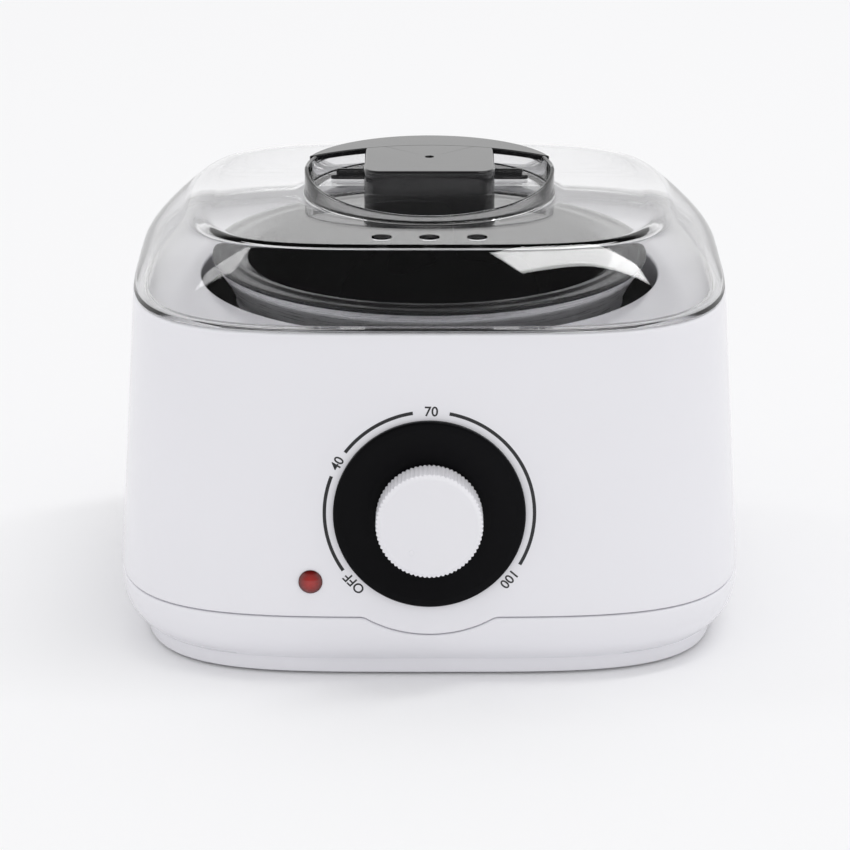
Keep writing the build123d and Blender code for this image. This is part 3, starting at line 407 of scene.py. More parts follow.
def makeUpperShell():
    # Up the leaning wall, with quarter rounds at its seam and rim, across the deck, where the
    # outline is mixed with a circle by a growing weight, down the collar and back up the inside.
    edge, low, high = shell["seamRound"], seam[0], shell["deckUnder"]
    rows = [(wallInset(low + up) + aside, low + up) for aside, up in rounding(5, edge)[::-1]]
    top = body["rim"] - shell["rimRound"]
    for share in np.linspace(0, 1, shell["wallRows"])[1:]:
        height = low + edge + (top - low - edge) * share
        rows.append((wallInset(height), height))
    outer, rim = body["lean"], body["rim"]
    inner = outer + shell["rimWidth"]
    rows += [(outer + aside, rim - down) for aside, down in rounding(7, shell["rimRound"])[1:]]
    rows += [(inner - aside, rim - down) for down, aside in rounding(4, softEdge)]
    deck, reach, foot = shell["deck"], shell["openingRound"], shell["deckRound"]
    rows += [(inner, deck + foot), (inner + foot, deck)]
    for weight in np.linspace(0, 1, 9)[1:]:
        rows.append((inner + foot, deck, shell["opening"] + reach, weight))
    rows += [(inner, deck - down, shell["opening"] + out, 1) for down, out in rounding(6, reach)[1:]]
    rows.append((inner, shell["collarFoot"], shell["opening"], 1))
    rows += [(inner, height, shell["collar"], 1) for height in (shell["collarFoot"], high)]
    under = wallInset(np.array(high)) + shell["wall"]
    rows += [(under, high, shell["collar"], weight) for weight in np.linspace(1, 0, 7)[1:]]
    for share in np.linspace(1, 0, 12)[1:]:
        height = low + (high - low) * share
        rows.append((wallInset(height) + shell["wall"], height))
    grid = stack(rows)
    closedSurface("upperShellSkin", grid, "joined", "shellWhite", "shell_white", "housing", ("upper_shell",))


makeUpperShell()
print("upper shell made")

# Base tray and the plinth under it.
tray = {
    "gap": 0.35, "edge": 0.5, "lipInset": 2.8, "lipTop": 23.5, "wall": 4.2, "floor": 8.0, "ledge": 18.2,
    "rows": 14,
}
plinth = {
    "inset": 6.9, "skirt": 2.4, "low": 0.8, "plate": 2.8, "top": 5.4, "round": 0.5, "skirtRound": 0.4,
    "middle": 80.0,
}


def makeTray():
    # Up the curled wall to a quarter round under the seam's gap, over the lip and down the inside.
    rows = []
    bottom, edge = body["trayBottom"], tray["edge"]
    high = seam[0] - tray["gap"]
    for share in np.linspace(0, 1, tray["rows"]):
        height = bottom + (high - edge - bottom) * share
        rows.append((wallInset(height), height))
    for aside, down in rounding(5, edge)[1:]:
        rows.append((wallInset(high - down) + aside, high - down))
    rows += [(tray["lipInset"], height) for height in (high, tray["lipTop"])]
    rows.append((tray["wall"], tray["lipTop"]))
    for share in np.linspace(1, 0, 8):
        height = tray["floor"] + (body["seam"] - tray["floor"]) * share
        rows.append((wallInset(np.array(height)) + tray["wall"], height))
    rows += [(tray["ledge"], height) for height in (tray["floor"], bottom)]
    grid = stack(rows)
    closedSurface("baseTraySkin", grid, "joined", "shellWhite", "shell_white", "housing", ("base_tray",))


def makePlinth():
    # A path of insets and heights, with an arc at each corner, run round the body's outline.
    inset, low, top, plate = plinth["inset"], plinth["low"], plinth["top"], plinth["plate"]
    inner = inset + plinth["skirt"]
    path = roundedPath(
        [
            (plinth["middle"], plate, 0),
            (inner, plate, plinth["skirtRound"]),
            (inner, low, plinth["skirtRound"]),
            (inset, low, plinth["round"]),
            (inset, top, fineEdge),
            (plinth["middle"], top, 0),
        ]
    )
    rows = [(inset, height) for inset, height in path]
    closedSurface(
        "plinthSkin", stack(rows), "fans", "shellWhite", "shell_white", "housing", ("bottom_cover",)
    )


makeTray()
makePlinth()
print("tray and plinth made")

# Clear lid: a round-cornered dome with a flat top, a ring that grows from it, and three vents.
lid = {
    "top": 121.4,
    "under": 120.2,
    "middleUnder": 119.0,
    "inset": 18.6,
    "power": 1.25,
    "wall": 1.0,
    "lift": 0.2,
    "edge": 0.3,
    "frontCrease": 0.4,
    "sideCrease": 3.6,
    "creaseEnds": (34.0, 88.0),
    "lipOut": 8.5,
    "lipIn": 9.5,
    "lipFoot": 99.0,
    "land": 102.1,
    "ringOut": 36.3,
    "ringIn": 35.1,
    "ringFoot": 0.35,
    "ringFront": 2.0,
    "ringSide": 7.0,
    "ringSeat": 126.6,
    "hoopY": 12.45,
    "past": 5.0,  # how far past the top the wall's own line is followed
    "ringRow": 0.15,  # from the ring's fillets to the next row of the plate
    "creaseRows": (0.8, 0.65, 0.85),  # where the rows near the crease begin, lie close and end
    "underRows": (0.9, 0.7),
    "middleDrop": 4.0,  # width of the slope between the plate and its thick middle
    "ventRadius": 2.9,
    "ventPitch": 13.3,
    "ventOffset": -51.0,
}


def lidInset(height):
    # The inset from the rim grows as a power of the height over it, and evenly past the top.
    share = np.clip(height - body["rim"], 0, None) / (lid["top"] - body["rim"])
    bent = lid["inset"] * np.minimum(share, 1) ** lid["power"]
    return body["lean"] + bent + lid["inset"] * lid["power"] * np.maximum(share - 1, 0)


def softLower(first, second, width):
    # The lower of two heights. Where they differ by less than the width, a parabola joins them.
    share = np.clip(0.5 + 0.5 * (second - first) / width, 0, 1)
    return second + (first - second) * share - width * share * (1 - share)


def creaseWidth():
    # Crisp along the front and soft round the sides and back, with a smooth step by angle.
    fromFront = np.degrees(np.abs((angles + math.pi / 2 + math.pi) % fullTurn - math.pi))
    start, end = lid["creaseEnds"]
    share = np.clip((fromFront - start) / (end - start), 0, 1)
    share = share**2 * (3 - 2 * share)
    return lid["frontCrease"] + (lid["sideCrease"] - lid["frontCrease"]) * share


def ringTop():
    # The ring is level at its sides and falls evenly to the front; under the hoop it is lower.
    y = circleY[0] * lid["ringOut"]
    side = lid["top"] + lid["ringSide"]
    front = lid["top"] + lid["ringFront"]
    slope = side + (side - front) * np.clip(y, -lid["ringOut"], 0) / lid["ringOut"]
    return np.where(y > lid["hoopY"], lid["ringSeat"], slope)


def ringRows():
    # A fillet up from the plate, a half round on top, and a fillet down again.
    top, foot = lid["top"], lid["ringFoot"]
    inner, outer = lid["ringIn"], lid["ringOut"]
    half = (outer - inner) / 2
    crest = ringTop()
    rows = [(0, top + up, inner - aside, 1) for up, aside in rounding(6, foot)]
    for turn in np.linspace(0, math.pi, 11):
        height = crest - half * (1 - math.sin(turn))
        rows.append((0, height, inner + half * (1 - math.cos(turn)), 1))
    rows += [(0, top + up, outer + aside, 1) for aside, up in rounding(6, foot)]
    return rows


def makeLid():
    # From the middle over the plate and the ring; then the wall's own line, and the lower of it and
    # the plate, down to the lip; then the same inside, with a cosine slope to the thick middle.
    top, under, rim = lid["top"], lid["under"], body["rim"]
    past, near, edge = lid["past"], lid["ringRow"], lid["edge"]
    above, close, below = lid["creaseRows"]
    width = creaseWidth()
    first = lid["ringIn"] - lid["ringFoot"] - near
    outer = lid["ringOut"] + lid["ringFoot"] + near
    rows = [(0, top, circle, 1) for circle in np.linspace(1.0, first, 7)]
    rows += [*ringRows(), (0, top, outer, 1)]
    start = float(lidInset(top + past))
    rows += [(start, top, outer, weight) for weight in np.linspace(1, 0, 14)[1:-1]]
    low = rim + lid["lift"]
    lines = (
        np.linspace(top + past, top + above, 8),
        np.linspace(top + close, top - close, 14),
        np.linspace(top - below, low + edge, 26),
    )
    rows += [(lidInset(line), softLower(line, top, width)) for line in np.concatenate(lines)]
    start = float(lidInset(low + edge))
    rows += [(start + aside, low + up) for aside, up in rounding(5, edge)[1:]]
    lipOut, lipIn, foot, land = lid["lipOut"], lid["lipIn"], lid["lipFoot"], lid["land"]
    lip = (
        (lipOut - fineEdge, low), (lipOut, low - fineEdge), (lipOut, foot + softEdge),
        (lipOut + softEdge, foot), (lipIn - softEdge, foot), (lipIn, foot + softEdge),
        (lipIn, land - softEdge), (lipIn - softEdge, land),
    )
    rows += [(inset, height) for inset, height in lip]
    below, close = lid["underRows"]
    lines = (np.linspace(land, under - below, 24), np.linspace(under - close, under + past, 18))
    for line in np.concatenate(lines):
        rows.append((lidInset(line) + lid["wall"], softLower(line, under, width + 0.1)))
    last = float(lidInset(under + past)) + lid["wall"]
    rows += [(last, under, outer, weight) for weight in np.linspace(0, 1, 10)[1:]]
    drop, reach = under - lid["middleUnder"], lid["middleDrop"]
    for share in np.linspace(0, 1, 9)[1:]:
        height = under - drop * (0.5 - 0.5 * math.cos(share * math.pi))
        rows.append((0, height, outer - reach * share, 1))
    last = outer - reach - fineEdge
    rows += [(0, lid["middleUnder"], circle, 1) for circle in np.linspace(last, 1.0, 7)]
    piece = closedSurface(
        "lidClearSkin", stack(rows), "fans", "lidClear", "lid_clear", "lid", ("lid_shell",), 30.0
    )
    cutVents(piece)


def cutVents(piece):
    # Three upright round cutters, joined in one mesh, are taken out of the plate.
    count = 64
    around = np.arange(count)
    turn = around * fullTurn / count
    centres = np.array((-1, 0, 1))[:, None] * lid["ventPitch"]
    x = centres + lid["ventRadius"] * np.cos(turn)
    y = np.broadcast_to(lid["ventOffset"] + lid["ventRadius"] * np.sin(turn), x.shape)
    ends = [np.stack([x, y, np.full(x.shape, z)], axis=-1) for z in (lid["under"] - 3, lid["top"] + 3)]
    vertices = np.stack(ends, axis=1).reshape(-1, 3)
    base = np.arange(3)[:, None] * 2 * count
    nextOne = (around + 1) % count
    sides = np.stack([around, nextOne, nextOne + count, around + count], axis=-1)
    sides = (sides[None] + base[..., None]).reshape(-1, 4)
    faces = (base + around[::-1]).tolist() + (base + count + around).tolist() + sides.tolist()
    mesh = bpy.data.meshes.new("ventCutter")
    mesh.from_pydata(vertices * mm, [], faces)
    cutter = linked("ventCutter", mesh)
    cut = piece.modifiers.new("vents", "BOOLEAN")
    cut.operation = "DIFFERENCE"
    cut.solver = "EXACT"
    cut.object = cutter
    depsgraph = bpy.context.evaluated_depsgraph_get()
    result = bpy.data.meshes.new_from_object(piece.evaluated_get(depsgraph))
    piece.modifiers.clear()
    piece.data = result
    bpy.data.objects.remove(cutter)


makeLid()
print("lid made")

# Lid handle: a bar, a crescent hoop and a low strip.
handle = {
    "low": 121.5,
    "top": 128.4,
    "barTop": 128.37,
    "halfWidth": 19.0,
    "front": -6.0,
    "back": 36.4,
    "corner": 4.5,
    "round": 0.8,
    "inside": 34.3,
    "hole": (0.0, 11.6),
    "holeRadius": 1.3,
    "holeDepth": 1.6,
    "hoopRadius": 37.3,
    "hoopEye": 53.6,
    "hoopEyeOffset": -28.7,
    "hoopTip": 12.45,
    "hoopLow": 126.7,
    "hoopRound": 0.35,
    "around": 240,
    "footInset": 6.0,
    "holeBevel": (1.12, 0.15),  # its width against the hole's, and its depth
    "stripInset": 0.5,
    "stripRound": 0.35,
}
# Half length, front, back, corner and top of the low strip, and of the ridge along its back edge.
strips = {
    "handleStrip": (29.0, 11.5, 16.0, 1.5, 122.6),
    "handleRidge": (27.5, 14.6, 16.0, 0.5, 123.8),
}


def roundedBox(halfWidth, front, back, corner):
    # A rounded rectangle, sampled evenly by length; what lies outside the ring is drawn in to it.
    sides = ((halfWidth, front), (halfWidth, back), (-halfWidth, back), (-halfWidth, front))
    middle = (0, front, 0)
    loop = roundedPath([middle, *((x, y, corner) for x, y in sides), middle], 9)
    run = np.concatenate([[0], np.cumsum(np.linalg.norm(np.diff(loop, axis=0), axis=1))])
    at = np.linspace(0, run[-1], handle["around"] + 1)[:-1]
    points = np.stack([np.interp(at, run, loop[:, k]) for k in range(2)], axis=1)
    reach = np.linalg.norm(points, axis=1, keepdims=True)
    return points * np.minimum(1, handle["inside"] / np.maximum(reach, 1e-6))


def inward(loop, amount):
    # Each point moves towards the inside, square to the loop.
    along = np.roll(loop, -1, axis=0) - np.roll(loop, 1, axis=0)
    along /= np.linalg.norm(along, axis=1, keepdims=True)
    return loop + np.column_stack([-along[:, 1], along[:, 0]]) * amount


def level(loop, height):
    return np.column_stack([loop, np.full(len(loop), height)])


def risingRows(loop, top, radius, steps):
    # The loop is moved in and up along a quarter round.
    moves = rounding(steps, radius)[1:]
    return [level(inward(loop, aside), top - down) for aside, down in moves]


def makeBar():
    # A rounded rectangle rises to a quarter round; its top closes on a small blind hole.
    loop = roundedBox(handle["halfWidth"], handle["front"], handle["back"], handle["corner"])
    low, top, reach = handle["low"], handle["barTop"], handle["round"]
    rows = [level(inward(loop, handle["footInset"]), low), level(loop, low)]
    for share in np.linspace(0, 1, 4):
        rows.append(level(loop, low + fineEdge + share * (top - reach - low - fineEdge)))
    rows += risingRows(loop, top, reach, 7)
    inner = inward(loop, reach)
    hole = np.array(handle["hole"])
    fromHole = inner - hole
    ring = hole + fromHole / np.linalg.norm(fromHole, axis=1, keepdims=True) * handle["holeRadius"]
    rows += [level(inner + (ring - inner) * share, top) for share in (0.015, 0.3, 0.6, 0.85, 0.95)]
    wider, bevel = handle["holeBevel"]
    rows.append(level(hole + (ring - hole) * wider, top))
    rows += [level(ring, top - depth) for depth in (bevel, handle["holeDepth"])]
    closedSurface(
        "handleBar", np.stack(rows), "fans", "handleBlack", "handle_black", "lid", ("lid_handle",)
    )


def makeStrips():
    # Rounded rectangles that rise to a quarter round.
    low, reach = handle["low"], handle["stripRound"]
    for name, (half, front, back, corner, top) in strips.items():
        loop = roundedBox(half, front, back, corner)
        rows = [level(inward(loop, handle["stripInset"]), low), level(loop, low), level(loop, top - reach)]
        rows += risingRows(loop, top, reach, 5)
        closedSurface(name, np.stack(rows), "fans", "handleBlack", "handle_black", "lid")


def makeHoop():
    # A crescent between two arcs: a rounded section runs from the inner arc to the outer one, and
    # its rounding shrinks with the width towards the tips.
    tip, offset = handle["hoopTip"], handle["hoopEyeOffset"]
    share = np.linspace(0, 1, 121)[:, None]
    arcs = []
    for radius, centre in ((handle["hoopEye"], offset), (handle["hoopRadius"], 0.0)):
        start = math.asin((tip - centre) / radius)
        turn = start + (math.pi - 2 * start) * share
        arcs.append(np.hstack([radius * np.cos(turn), centre + radius * np.sin(turn)]))
    inner, outer = arcs
    width = np.linalg.norm(outer - inner, axis=1, keepdims=True)
    across = (outer - inner) / width
    reach = np.minimum(handle["hoopRound"], 0.45 * width)
    pull, drop = (reach * part for part in rounding(6, 1.0).T)
    foot = np.full_like(reach, handle["hoopLow"])
    crest = np.full_like(reach, handle["top"])
    bevel = 0.3 * reach
    flat = 1.1 * reach  # the first row past the rounding
    # From the inner arc's foot, up and over, to the outer arc's foot.
    along = np.hstack([
        bevel, 0 * reach, pull, flat, width - flat, (width - pull)[:, ::-1], width, width - bevel
    ])
    height = np.hstack([
        foot, foot + bevel, crest - drop, crest, crest, (crest - drop)[:, ::-1], foot + bevel, foot
    ])
    plan = inner[:, None] + across[:, None] * along[..., None]
    grid = np.dstack([plan, height])
    closedSurface("handleHoop", grid, "fans", "handleBlack", "handle_black", "lid")


makeBar()
makeStrips()
makeHoop()
print("handle made")

# A frame to turn pieces in: an origin, two directions across and the axis.
upright = {
    "origin": np.zeros(3),
    "across": np.array((1.0, 0, 0)),
    "along": np.array((0, 1.0, 0)),
    "axis": np.array((0, 0, 1.0)),
}
tilt = math.atan2(body["lean"], body["rim"] - body["seam"])


def wallDepth(x, height):
    # The outline's formula, solved for y at the height's inset.
    inset = wallInset(np.asarray(height))
    halfX = body["width"] / 2 - inset
    halfY = body["depth"] / 2 - inset
    return halfY * (1 - np.abs(x / halfX) ** body["power"]) ** (1 / body["power"])


def wallFrame(x, height, side):
    # A frame on the wall's outside at a given place: its axis points out of the front or the rear.
    return {
        "origin": np.array((x, side * wallDepth(x, height), height)),
        "across": np.array((1.0, 0, 0)),
        "along": np.array((0, -side * math.sin(tilt), math.cos(tilt))),
        "axis": np.array((0, side * math.cos(tilt), math.sin(tilt))),
    }


dialFrame = wallFrame(0.0, dial["height"], -1)
lampFrame = wallFrame(lampSpot[0], lampSpot[2], -1)
rearFrame = wallFrame(0.0, inletHeight, 1)


def turnedGrid(place, radius, height, count):
    # Each row is a circle about the frame's axis, at a height along it. The radius may vary round it.
    turn = np.arange(count) * fullTurn / count
    radius = radius if radius.ndim == 2 else radius[:, None]
    x = (radius * np.cos(turn))[..., None] * place["across"]
    y = (radius * np.sin(turn))[..., None] * place["along"]
    z = (height[:, None] * np.ones(count))[..., None] * place["axis"]
    return place["origin"] + x + y + z


def turnedPiece(name, place, corners, ends, count, *skin):
    # A section with rounded corners, turned about the frame's axis.
    longest = 4.0
    path = roundedPath(corners, 8)
    if ends == "joined":
        path = np.vstack([path, path[:1]])
    path = divided(path, longest)
    if ends == "joined":
        path = path[:-1]
    grid = turnedGrid(place, path[:, 0], path[:, 1], count)
    return closedSurface(name, grid, ends, *skin)


# Heated bowl and the pot that hangs in it.
bowl = {
    "outside": 56.9,
    "floor": 33.1,
    "corner": 9.5,
    "shoulder": (60.0, 83.9, 85.1),
    "flare": 91.0,
    "waist": (59.2, 97.2),
    "lip": (61.6, 99.2, 102.0),
    "land": 1.4,
    "wall": 1.5,
    "outerRounds": (5.0, 3.0, 1.6, 0.4),
    "innerRound": 4.0,
}
pot = {
    "outside": 54.6,
    "inside": 52.7,
    "bottom": 36.6,
    "floor": 38.0,
    "corner": 8.0,
    "seat": 102.0,
    "flange": 63.7,
    "flangeTop": 103.5,
    "groove": 0.5,
    "mouth": 53.1,
    "mouthDepth": 8.0,
    "mouthRound": 1.0,
    "flangeRounds": (0.5, 0.7),
    "crown": 0.1,
    "crownRound": 0.8,
}


def makeBowl():
    # Floor, wall, shoulder and flare outside, the flat lip, and the same line back inside.
    outside, floor, wall = bowl["outside"], bowl["floor"], bowl["wall"]
    reach, low, high = bowl["shoulder"]
    waist, waistHeight = bowl["waist"]
    lip, lipLow, lipTop = bowl["lip"]
    flareRound, waistRound, lipRound, lipEdge = bowl["outerRounds"]
    corners = [
        (axisGap, floor, 0),
        (outside, floor, bowl["corner"]),
        (outside, low, fineEdge),
        (reach, low, softEdge),
        (reach, high, softEdge),
        (outside, high, softEdge),
        (outside, bowl["flare"], flareRound),
        (waist, waistHeight - wall, waistRound),
        (lip, lipLow, lipRound),
        (lip, lipTop, lipEdge),
        (lip - bowl["land"], lipTop, softEdge),
        (waist - bowl["land"], waistHeight, bowl["innerRound"]),
        (outside - wall, bowl["flare"], bowl["innerRound"]),
        (outside - wall, floor + wall, bowl["corner"] - wall),
        (axisGap, floor + wall, 0),
    ]
    turnedPiece(
        "heatedBowl", upright, corners, "fans", 256, "bowlAlloy", "bowl_alloy", "housing", ("heating_bowl",)
    )


def makePot():
    # Floor and wall outside, the flange with its groove, the mouth, and the wall and floor inside.
    outside, inside, flange = pot["outside"], pot["inside"], pot["flange"]
    seat, top, step = pot["seat"], pot["flangeTop"], pot["groove"]
    bottom, floor, corner = pot["bottom"], pot["floor"], pot["corner"]
    crown, (lowRound, highRound) = top + pot["crown"], pot["flangeRounds"]
    corners = [
        (axisGap, bottom, 0),
        (outside, bottom, corner),
        (outside, seat, softEdge),
        (flange, seat, lowRound),
        (flange, top, highRound),
        (flange - 4 * step, top, softEdge),
        (flange - 5 * step, top - step, softEdge),
        (flange - 10 * step, top - step, softEdge),
        (flange - 11 * step, crown, softEdge),
        (flange - 14 * step, crown, pot["crownRound"]),
        (pot["mouth"], seat, pot["mouthRound"]),
        (inside, seat - pot["mouthDepth"], 0),
        (inside, floor, corner - floor + bottom),
        (axisGap, floor, 0),
    ]
    turnedPiece("liftOutPot", upright, corners, "fans", 256, "potCoat", "pot_alloy", "pot", ("inner_pot",))


makeBowl()
makePot()
print("bowl and pot made")

# Dial: a dished bezel, a ridged knob and its pip.
bezel = {
    "bore": 5.3,
    "radius": 26.7,
    "low": -0.5,
    "rim": 1.9,
    "round": 0.8,
    "rimFlat": 2.2,
    "rimEdge": 0.9,
    "dish": 17.0,
    "dishRound": 1.5,
    "floor": 1.1,
    "foot": 0.1,
}
knob = {
    "core": 14.44,
    "ridge": 0.36,
    "ridges": 72,
    "ridgePower": 1.5,
    "ridgeFade": (0.45, 0.4),  # from how far inside the core's radius they fade, and over what width
    "base": 2.4,
    "face": 13.3,
    "bevel": 0.9,
    "bevelRound": 0.7,
    "cavity": 12.0,
    "cavityRound": 0.5,
    "ceiling": 10.7,
    "hub": 6.2,
    "bore": 4.3,
    "hubBase": 4.5,
}
pip = {
    "radius": 0.7, "offset": 8.8, "angle": -124.0, "low": 12.9, "proud": 13.45, "edge": 0.1,
}


def makeBezel():
    # A ring's section: outer wall, rounded rim, and a slope down to the dish.
    bore, radius, low, rim = bezel["bore"], bezel["radius"], bezel["low"], bezel["rim"]
    corners = [
        (bore, low, 0),
        (radius, low, bezel["foot"]),
        (radius, rim, bezel["round"]),
        (radius - bezel["rimFlat"], rim, bezel["rimEdge"]),
        (bezel["dish"], bezel["floor"], bezel["dishRound"]),
        (bore, bezel["floor"], 0),
    ]
    stands = ("dial_bezel",)
    turnedPiece(
        "dialBezel", dialFrame, corners, "joined", 256, "bezelBlack", "handle_black", "housing", stands
    )


def makeKnob():
    # The side's radius grows with a power of |cos(half the ridge count times the angle)|, and the
    # ridges fade out on the bevel.
    top, base, ceiling = knob["face"], knob["base"], knob["ceiling"]
    core, cavity, hub, bore = knob["core"], knob["cavity"], knob["hub"], knob["bore"]
    path = roundedPath(
        [
            (axisGap, ceiling, 0),
            (bore, ceiling, 0),
            (bore, knob["hubBase"], fineEdge),
            (hub, knob["hubBase"], fineEdge),
            (hub, ceiling, softEdge),
            (cavity, ceiling, knob["cavityRound"]),
            (cavity, base, fineEdge),
            (core, base, softEdge),
            (core, top - knob["bevel"], knob["bevelRound"]),
            (core - knob["bevel"], top, knob["bevelRound"]),
            (axisGap, top, 0),
        ]
    )
    path = divided(path, 2.5)
    count = knob["ridges"] * 12
    turn = np.arange(count) * fullTurn / count
    wave = np.abs(np.cos(turn * knob["ridges"] / 2)) ** knob["ridgePower"]
    start, fade = knob["ridgeFade"]
    side = np.clip((path[:, 0] - core + start) / fade, 0, 1)
    side *= (path[:, 0] > cavity + 1) * (path[:, 1] > base)
    radius = path[:, :1] + side[:, None] * wave[None] * knob["ridge"]
    grid = turnedGrid(dialFrame, radius, path[:, 1], count)
    closedSurface("dialKnob", grid, "fans", "knobWhite", "shell_white", "dial", ("knob",), 50.0)


def makePip():
    # A small round peg, set off from the dial's middle along its angle.
    turn, edge = math.radians(pip["angle"]), pip["edge"]
    place = dict(dialFrame)
    place["origin"] = (
        dialFrame["origin"]
        + dialFrame["across"] * pip["offset"] * math.cos(turn)
        + dialFrame["along"] * pip["offset"] * math.sin(turn)
    )
    corners = [
        (edge, pip["low"], 0),
        (pip["radius"], pip["low"], 0),
        (pip["radius"], pip["proud"], edge),
        (edge, pip["proud"], 0),
    ]
    turnedPiece("dialPip", place, corners, "fans", 40, "knobWhite", "shell_white", "dial", ("knob_marker",))


makeBezel()
makeKnob()
makePip()
print("dial made")

# Print round the dial: three arcs and four marks.
scale = {
    "radius": 29.1,
    "width": 0.95,
    "arcs": ((158.5, 214.5), (99.0, 143.0), (-30.5, 79.0)),
    "marks": (("OFF", -136.0), ("40", 150.5), ("70", 89.0), ("100", -40.5)),
    "height": 2.8,
    "sizeOfHeight": 1.38,  # a font's size against the height of its capitals
    "bold": 0.05,
    "thick": 0.05,
}


def onWall(across, along, proud):
    # Flat places on the dial's plane are moved along its axis until they lie on the curved wall.
    height = dialFrame["origin"][2] + along * math.cos(tilt)
    wall = np.stack([across, -wallDepth(across, height), height], axis=-1)
    return wall + dialFrame["axis"] * np.asarray(proud)[..., None]


def makeArcs():
    # A thin band between two radii about the dial's axis, laid on the wall.
    for index, (start, end) in enumerate(scale["arcs"]):
        turns = np.radians(np.linspace(start, end, 60))
        half, thick = scale["width"] / 2, scale["thick"]
        radii = scale["radius"] + np.array((-half, half, half, -half))
        proud = np.array((-thick, -thick, thick, thick))
        across = np.cos(turns)[:, None] * radii
        along = np.sin(turns)[:, None] * radii
        grid = onWall(across, along, np.broadcast_to(proud, across.shape))
        closedSurface(f"dialArc{index + 1}", grid, "fans", "printBlack", "handle_black", "housing")


def makeMarks():
    # Flat text, turned to its angle about the dial's axis and laid on the wall.
    for index, (words, angle) in enumerate(scale["marks"]):
        curve = bpy.data.curves.new(f"dialMark{index + 1}", "FONT")
        curve.body = words
        curve.size = scale["height"] * scale["sizeOfHeight"]
        curve.align_x = "CENTER"
        curve.align_y = "CENTER"
        curve.offset = scale["bold"]
        curve.extrude = scale["thick"]
        curve.resolution_u = 6
        text = linked("draftMark", curve)
        bpy.context.view_layer.update()
        depsgraph = bpy.context.evaluated_depsgraph_get()
        mesh = bpy.data.meshes.new_from_object(text.evaluated_get(depsgraph))
        bpy.data.objects.remove(text)
        flat = np.empty(len(mesh.vertices) * 3)
        mesh.vertices.foreach_get("co", flat)
        flat = flat.reshape(-1, 3)
        turn = math.radians(angle)
        outward = flat[:, 1] + scale["radius"]
        across = outward * math.cos(turn) + flat[:, 0] * math.sin(turn)
        along = outward * math.sin(turn) - flat[:, 0] * math.cos(turn)
        placed = onWall(across, along, flat[:, 2]) * mm
        mesh.vertices.foreach_set("co", placed.ravel())
        mesh.materials.clear()
        mesh.materials.append(finishes["printBlack"])
        mesh.update()
        piece = linked(f"dialMark{index + 1}", mesh)
        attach(piece, "housing")


makeArcs()
makeMarks()
print("print made")

# Pilot lamp on the front and cord inlet at the rear.
lamp = {
    "radius": 3.35,
    "barrel": 2.9,
    "low": -3.05,
    "pocket": -0.2,
    "edge": 0.3,
    "dome": 1.5,
    "axisGap": 0.05,
}
inlet = {
    "bore": 3.5,
    "inside": -7.0,
    "neck": 5.0,
    "flange": 6.6,
    "flangeTop": 2.0,
    "reach": 12.74,
    "tip": 4.6,
    "rounds": (0.7, 0.6, 0.4),  # of the flange, its foot and the tip
}


def makeLens():
    # A barrel with a flange, and a dome that is part of a sphere.
    rise = lamp["dome"] - lamp["edge"]
    ball = (lamp["radius"] ** 2 + rise**2) / (2 * rise)
    reach = np.linspace(lamp["radius"], lamp["axisGap"], 14)
    dome = lamp["dome"] - ball + np.sqrt(ball**2 - reach**2)
    corners = [
        (lamp["axisGap"], lamp["low"], 0),
        (lamp["barrel"], lamp["low"], fineEdge),
        (lamp["barrel"], lamp["pocket"], 0),
        (lamp["radius"], lamp["pocket"], 0),
    ]
    path = np.vstack([roundedPath(corners), np.column_stack([reach, dome])])
    grid = turnedGrid(lampFrame, path[:, 0], path[:, 1], 96)
    closedSurface("pilotLens", grid, "fans", "lensRed", "lens_red", "housing", ("lamp_lens",))


def makeInlet():
    # A sleeve's section: the neck in the wall, the flange, and the tapered end round the bore.
    flangeRound, footRound, tipRound = inlet["rounds"]
    corners = [
        (inlet["bore"], inlet["inside"], 0),
        (inlet["neck"], inlet["inside"], softEdge),
        (inlet["neck"], 0, 0),
        (inlet["flange"], 0, 0),
        (inlet["flange"], inlet["flangeTop"], flangeRound),
        (inlet["neck"], inlet["flangeTop"], footRound),
        (inlet["tip"], inlet["reach"], tipRound),
        (inlet["bore"], inlet["reach"], 0),
    ]
    stands = ("cord_inlet",)
    turnedPiece(
        "cordInlet", rearFrame, corners, "joined", 96, "sleeveRubber", "sleeve_white", "housing", stands
    )


makeLens()
makeInlet()
print("lamp and inlet made")

# Finishes for the pieces that stay as the frame has them.
kept = {
    "footRubber": ("foot_front_left", "foot_front_right", "foot_rear_left", "foot_rear_right"),
    "steel": (
        "cover_screws", "bowl_bracket", "bracket_screws", "heater_bolt", "heater_nut", "heat_shield",
        "shield_screws", "fuse_clip", "handle_screws", "thermostat_nut", "thermostat_shaft",
    ),
    # Black rubber darkened into painted shade for the gap round the bowl.
    "sealRubberAndShade": ("seal_ring",),
    "heaterMica": ("band_heater",),
    "wrapFelt": ("insulation_wrap",),
    "ceramic": ("thermal_fuse", "terminal_block"),
    "innerPlastic": ("thermostat_body", "lamp_holder", "inlet_nut"),
    "brass": ("thermostat_tabs", "knob_insert"),
    "bulbGlass": ("lamp_bulb",),
    "wireBrown": ("supply_wire_live", "thermostat_wire"),
    "wireBlue": ("supply_wire_neutral", "heater_return_wire"),
    "wireWhite": ("fuse_feed_wire", "heater_feed_wire", "lamp_wire"),
}


def dressKept():
    for finish, names in kept.items():
        for name in names:
            for place in nodes[name].material_slots:
                place.material = finishes[finish]


dressKept()
print("frame pieces dressed")

# Floor, world and two soft panels.
studio = {
    "floorSize": 12.0,
    "floorColour": (0.92, 0.92, 0.93),
    "floorLift": 0.025,
    "worldLevel": 0.85,
    "overheadLevel": 0.06,
    "whiteTo": 0.5,
    "darkFrom": 0.74,
    "frontLevel": 0.4,
    "frontSpan": (-0.9, -0.4),
}
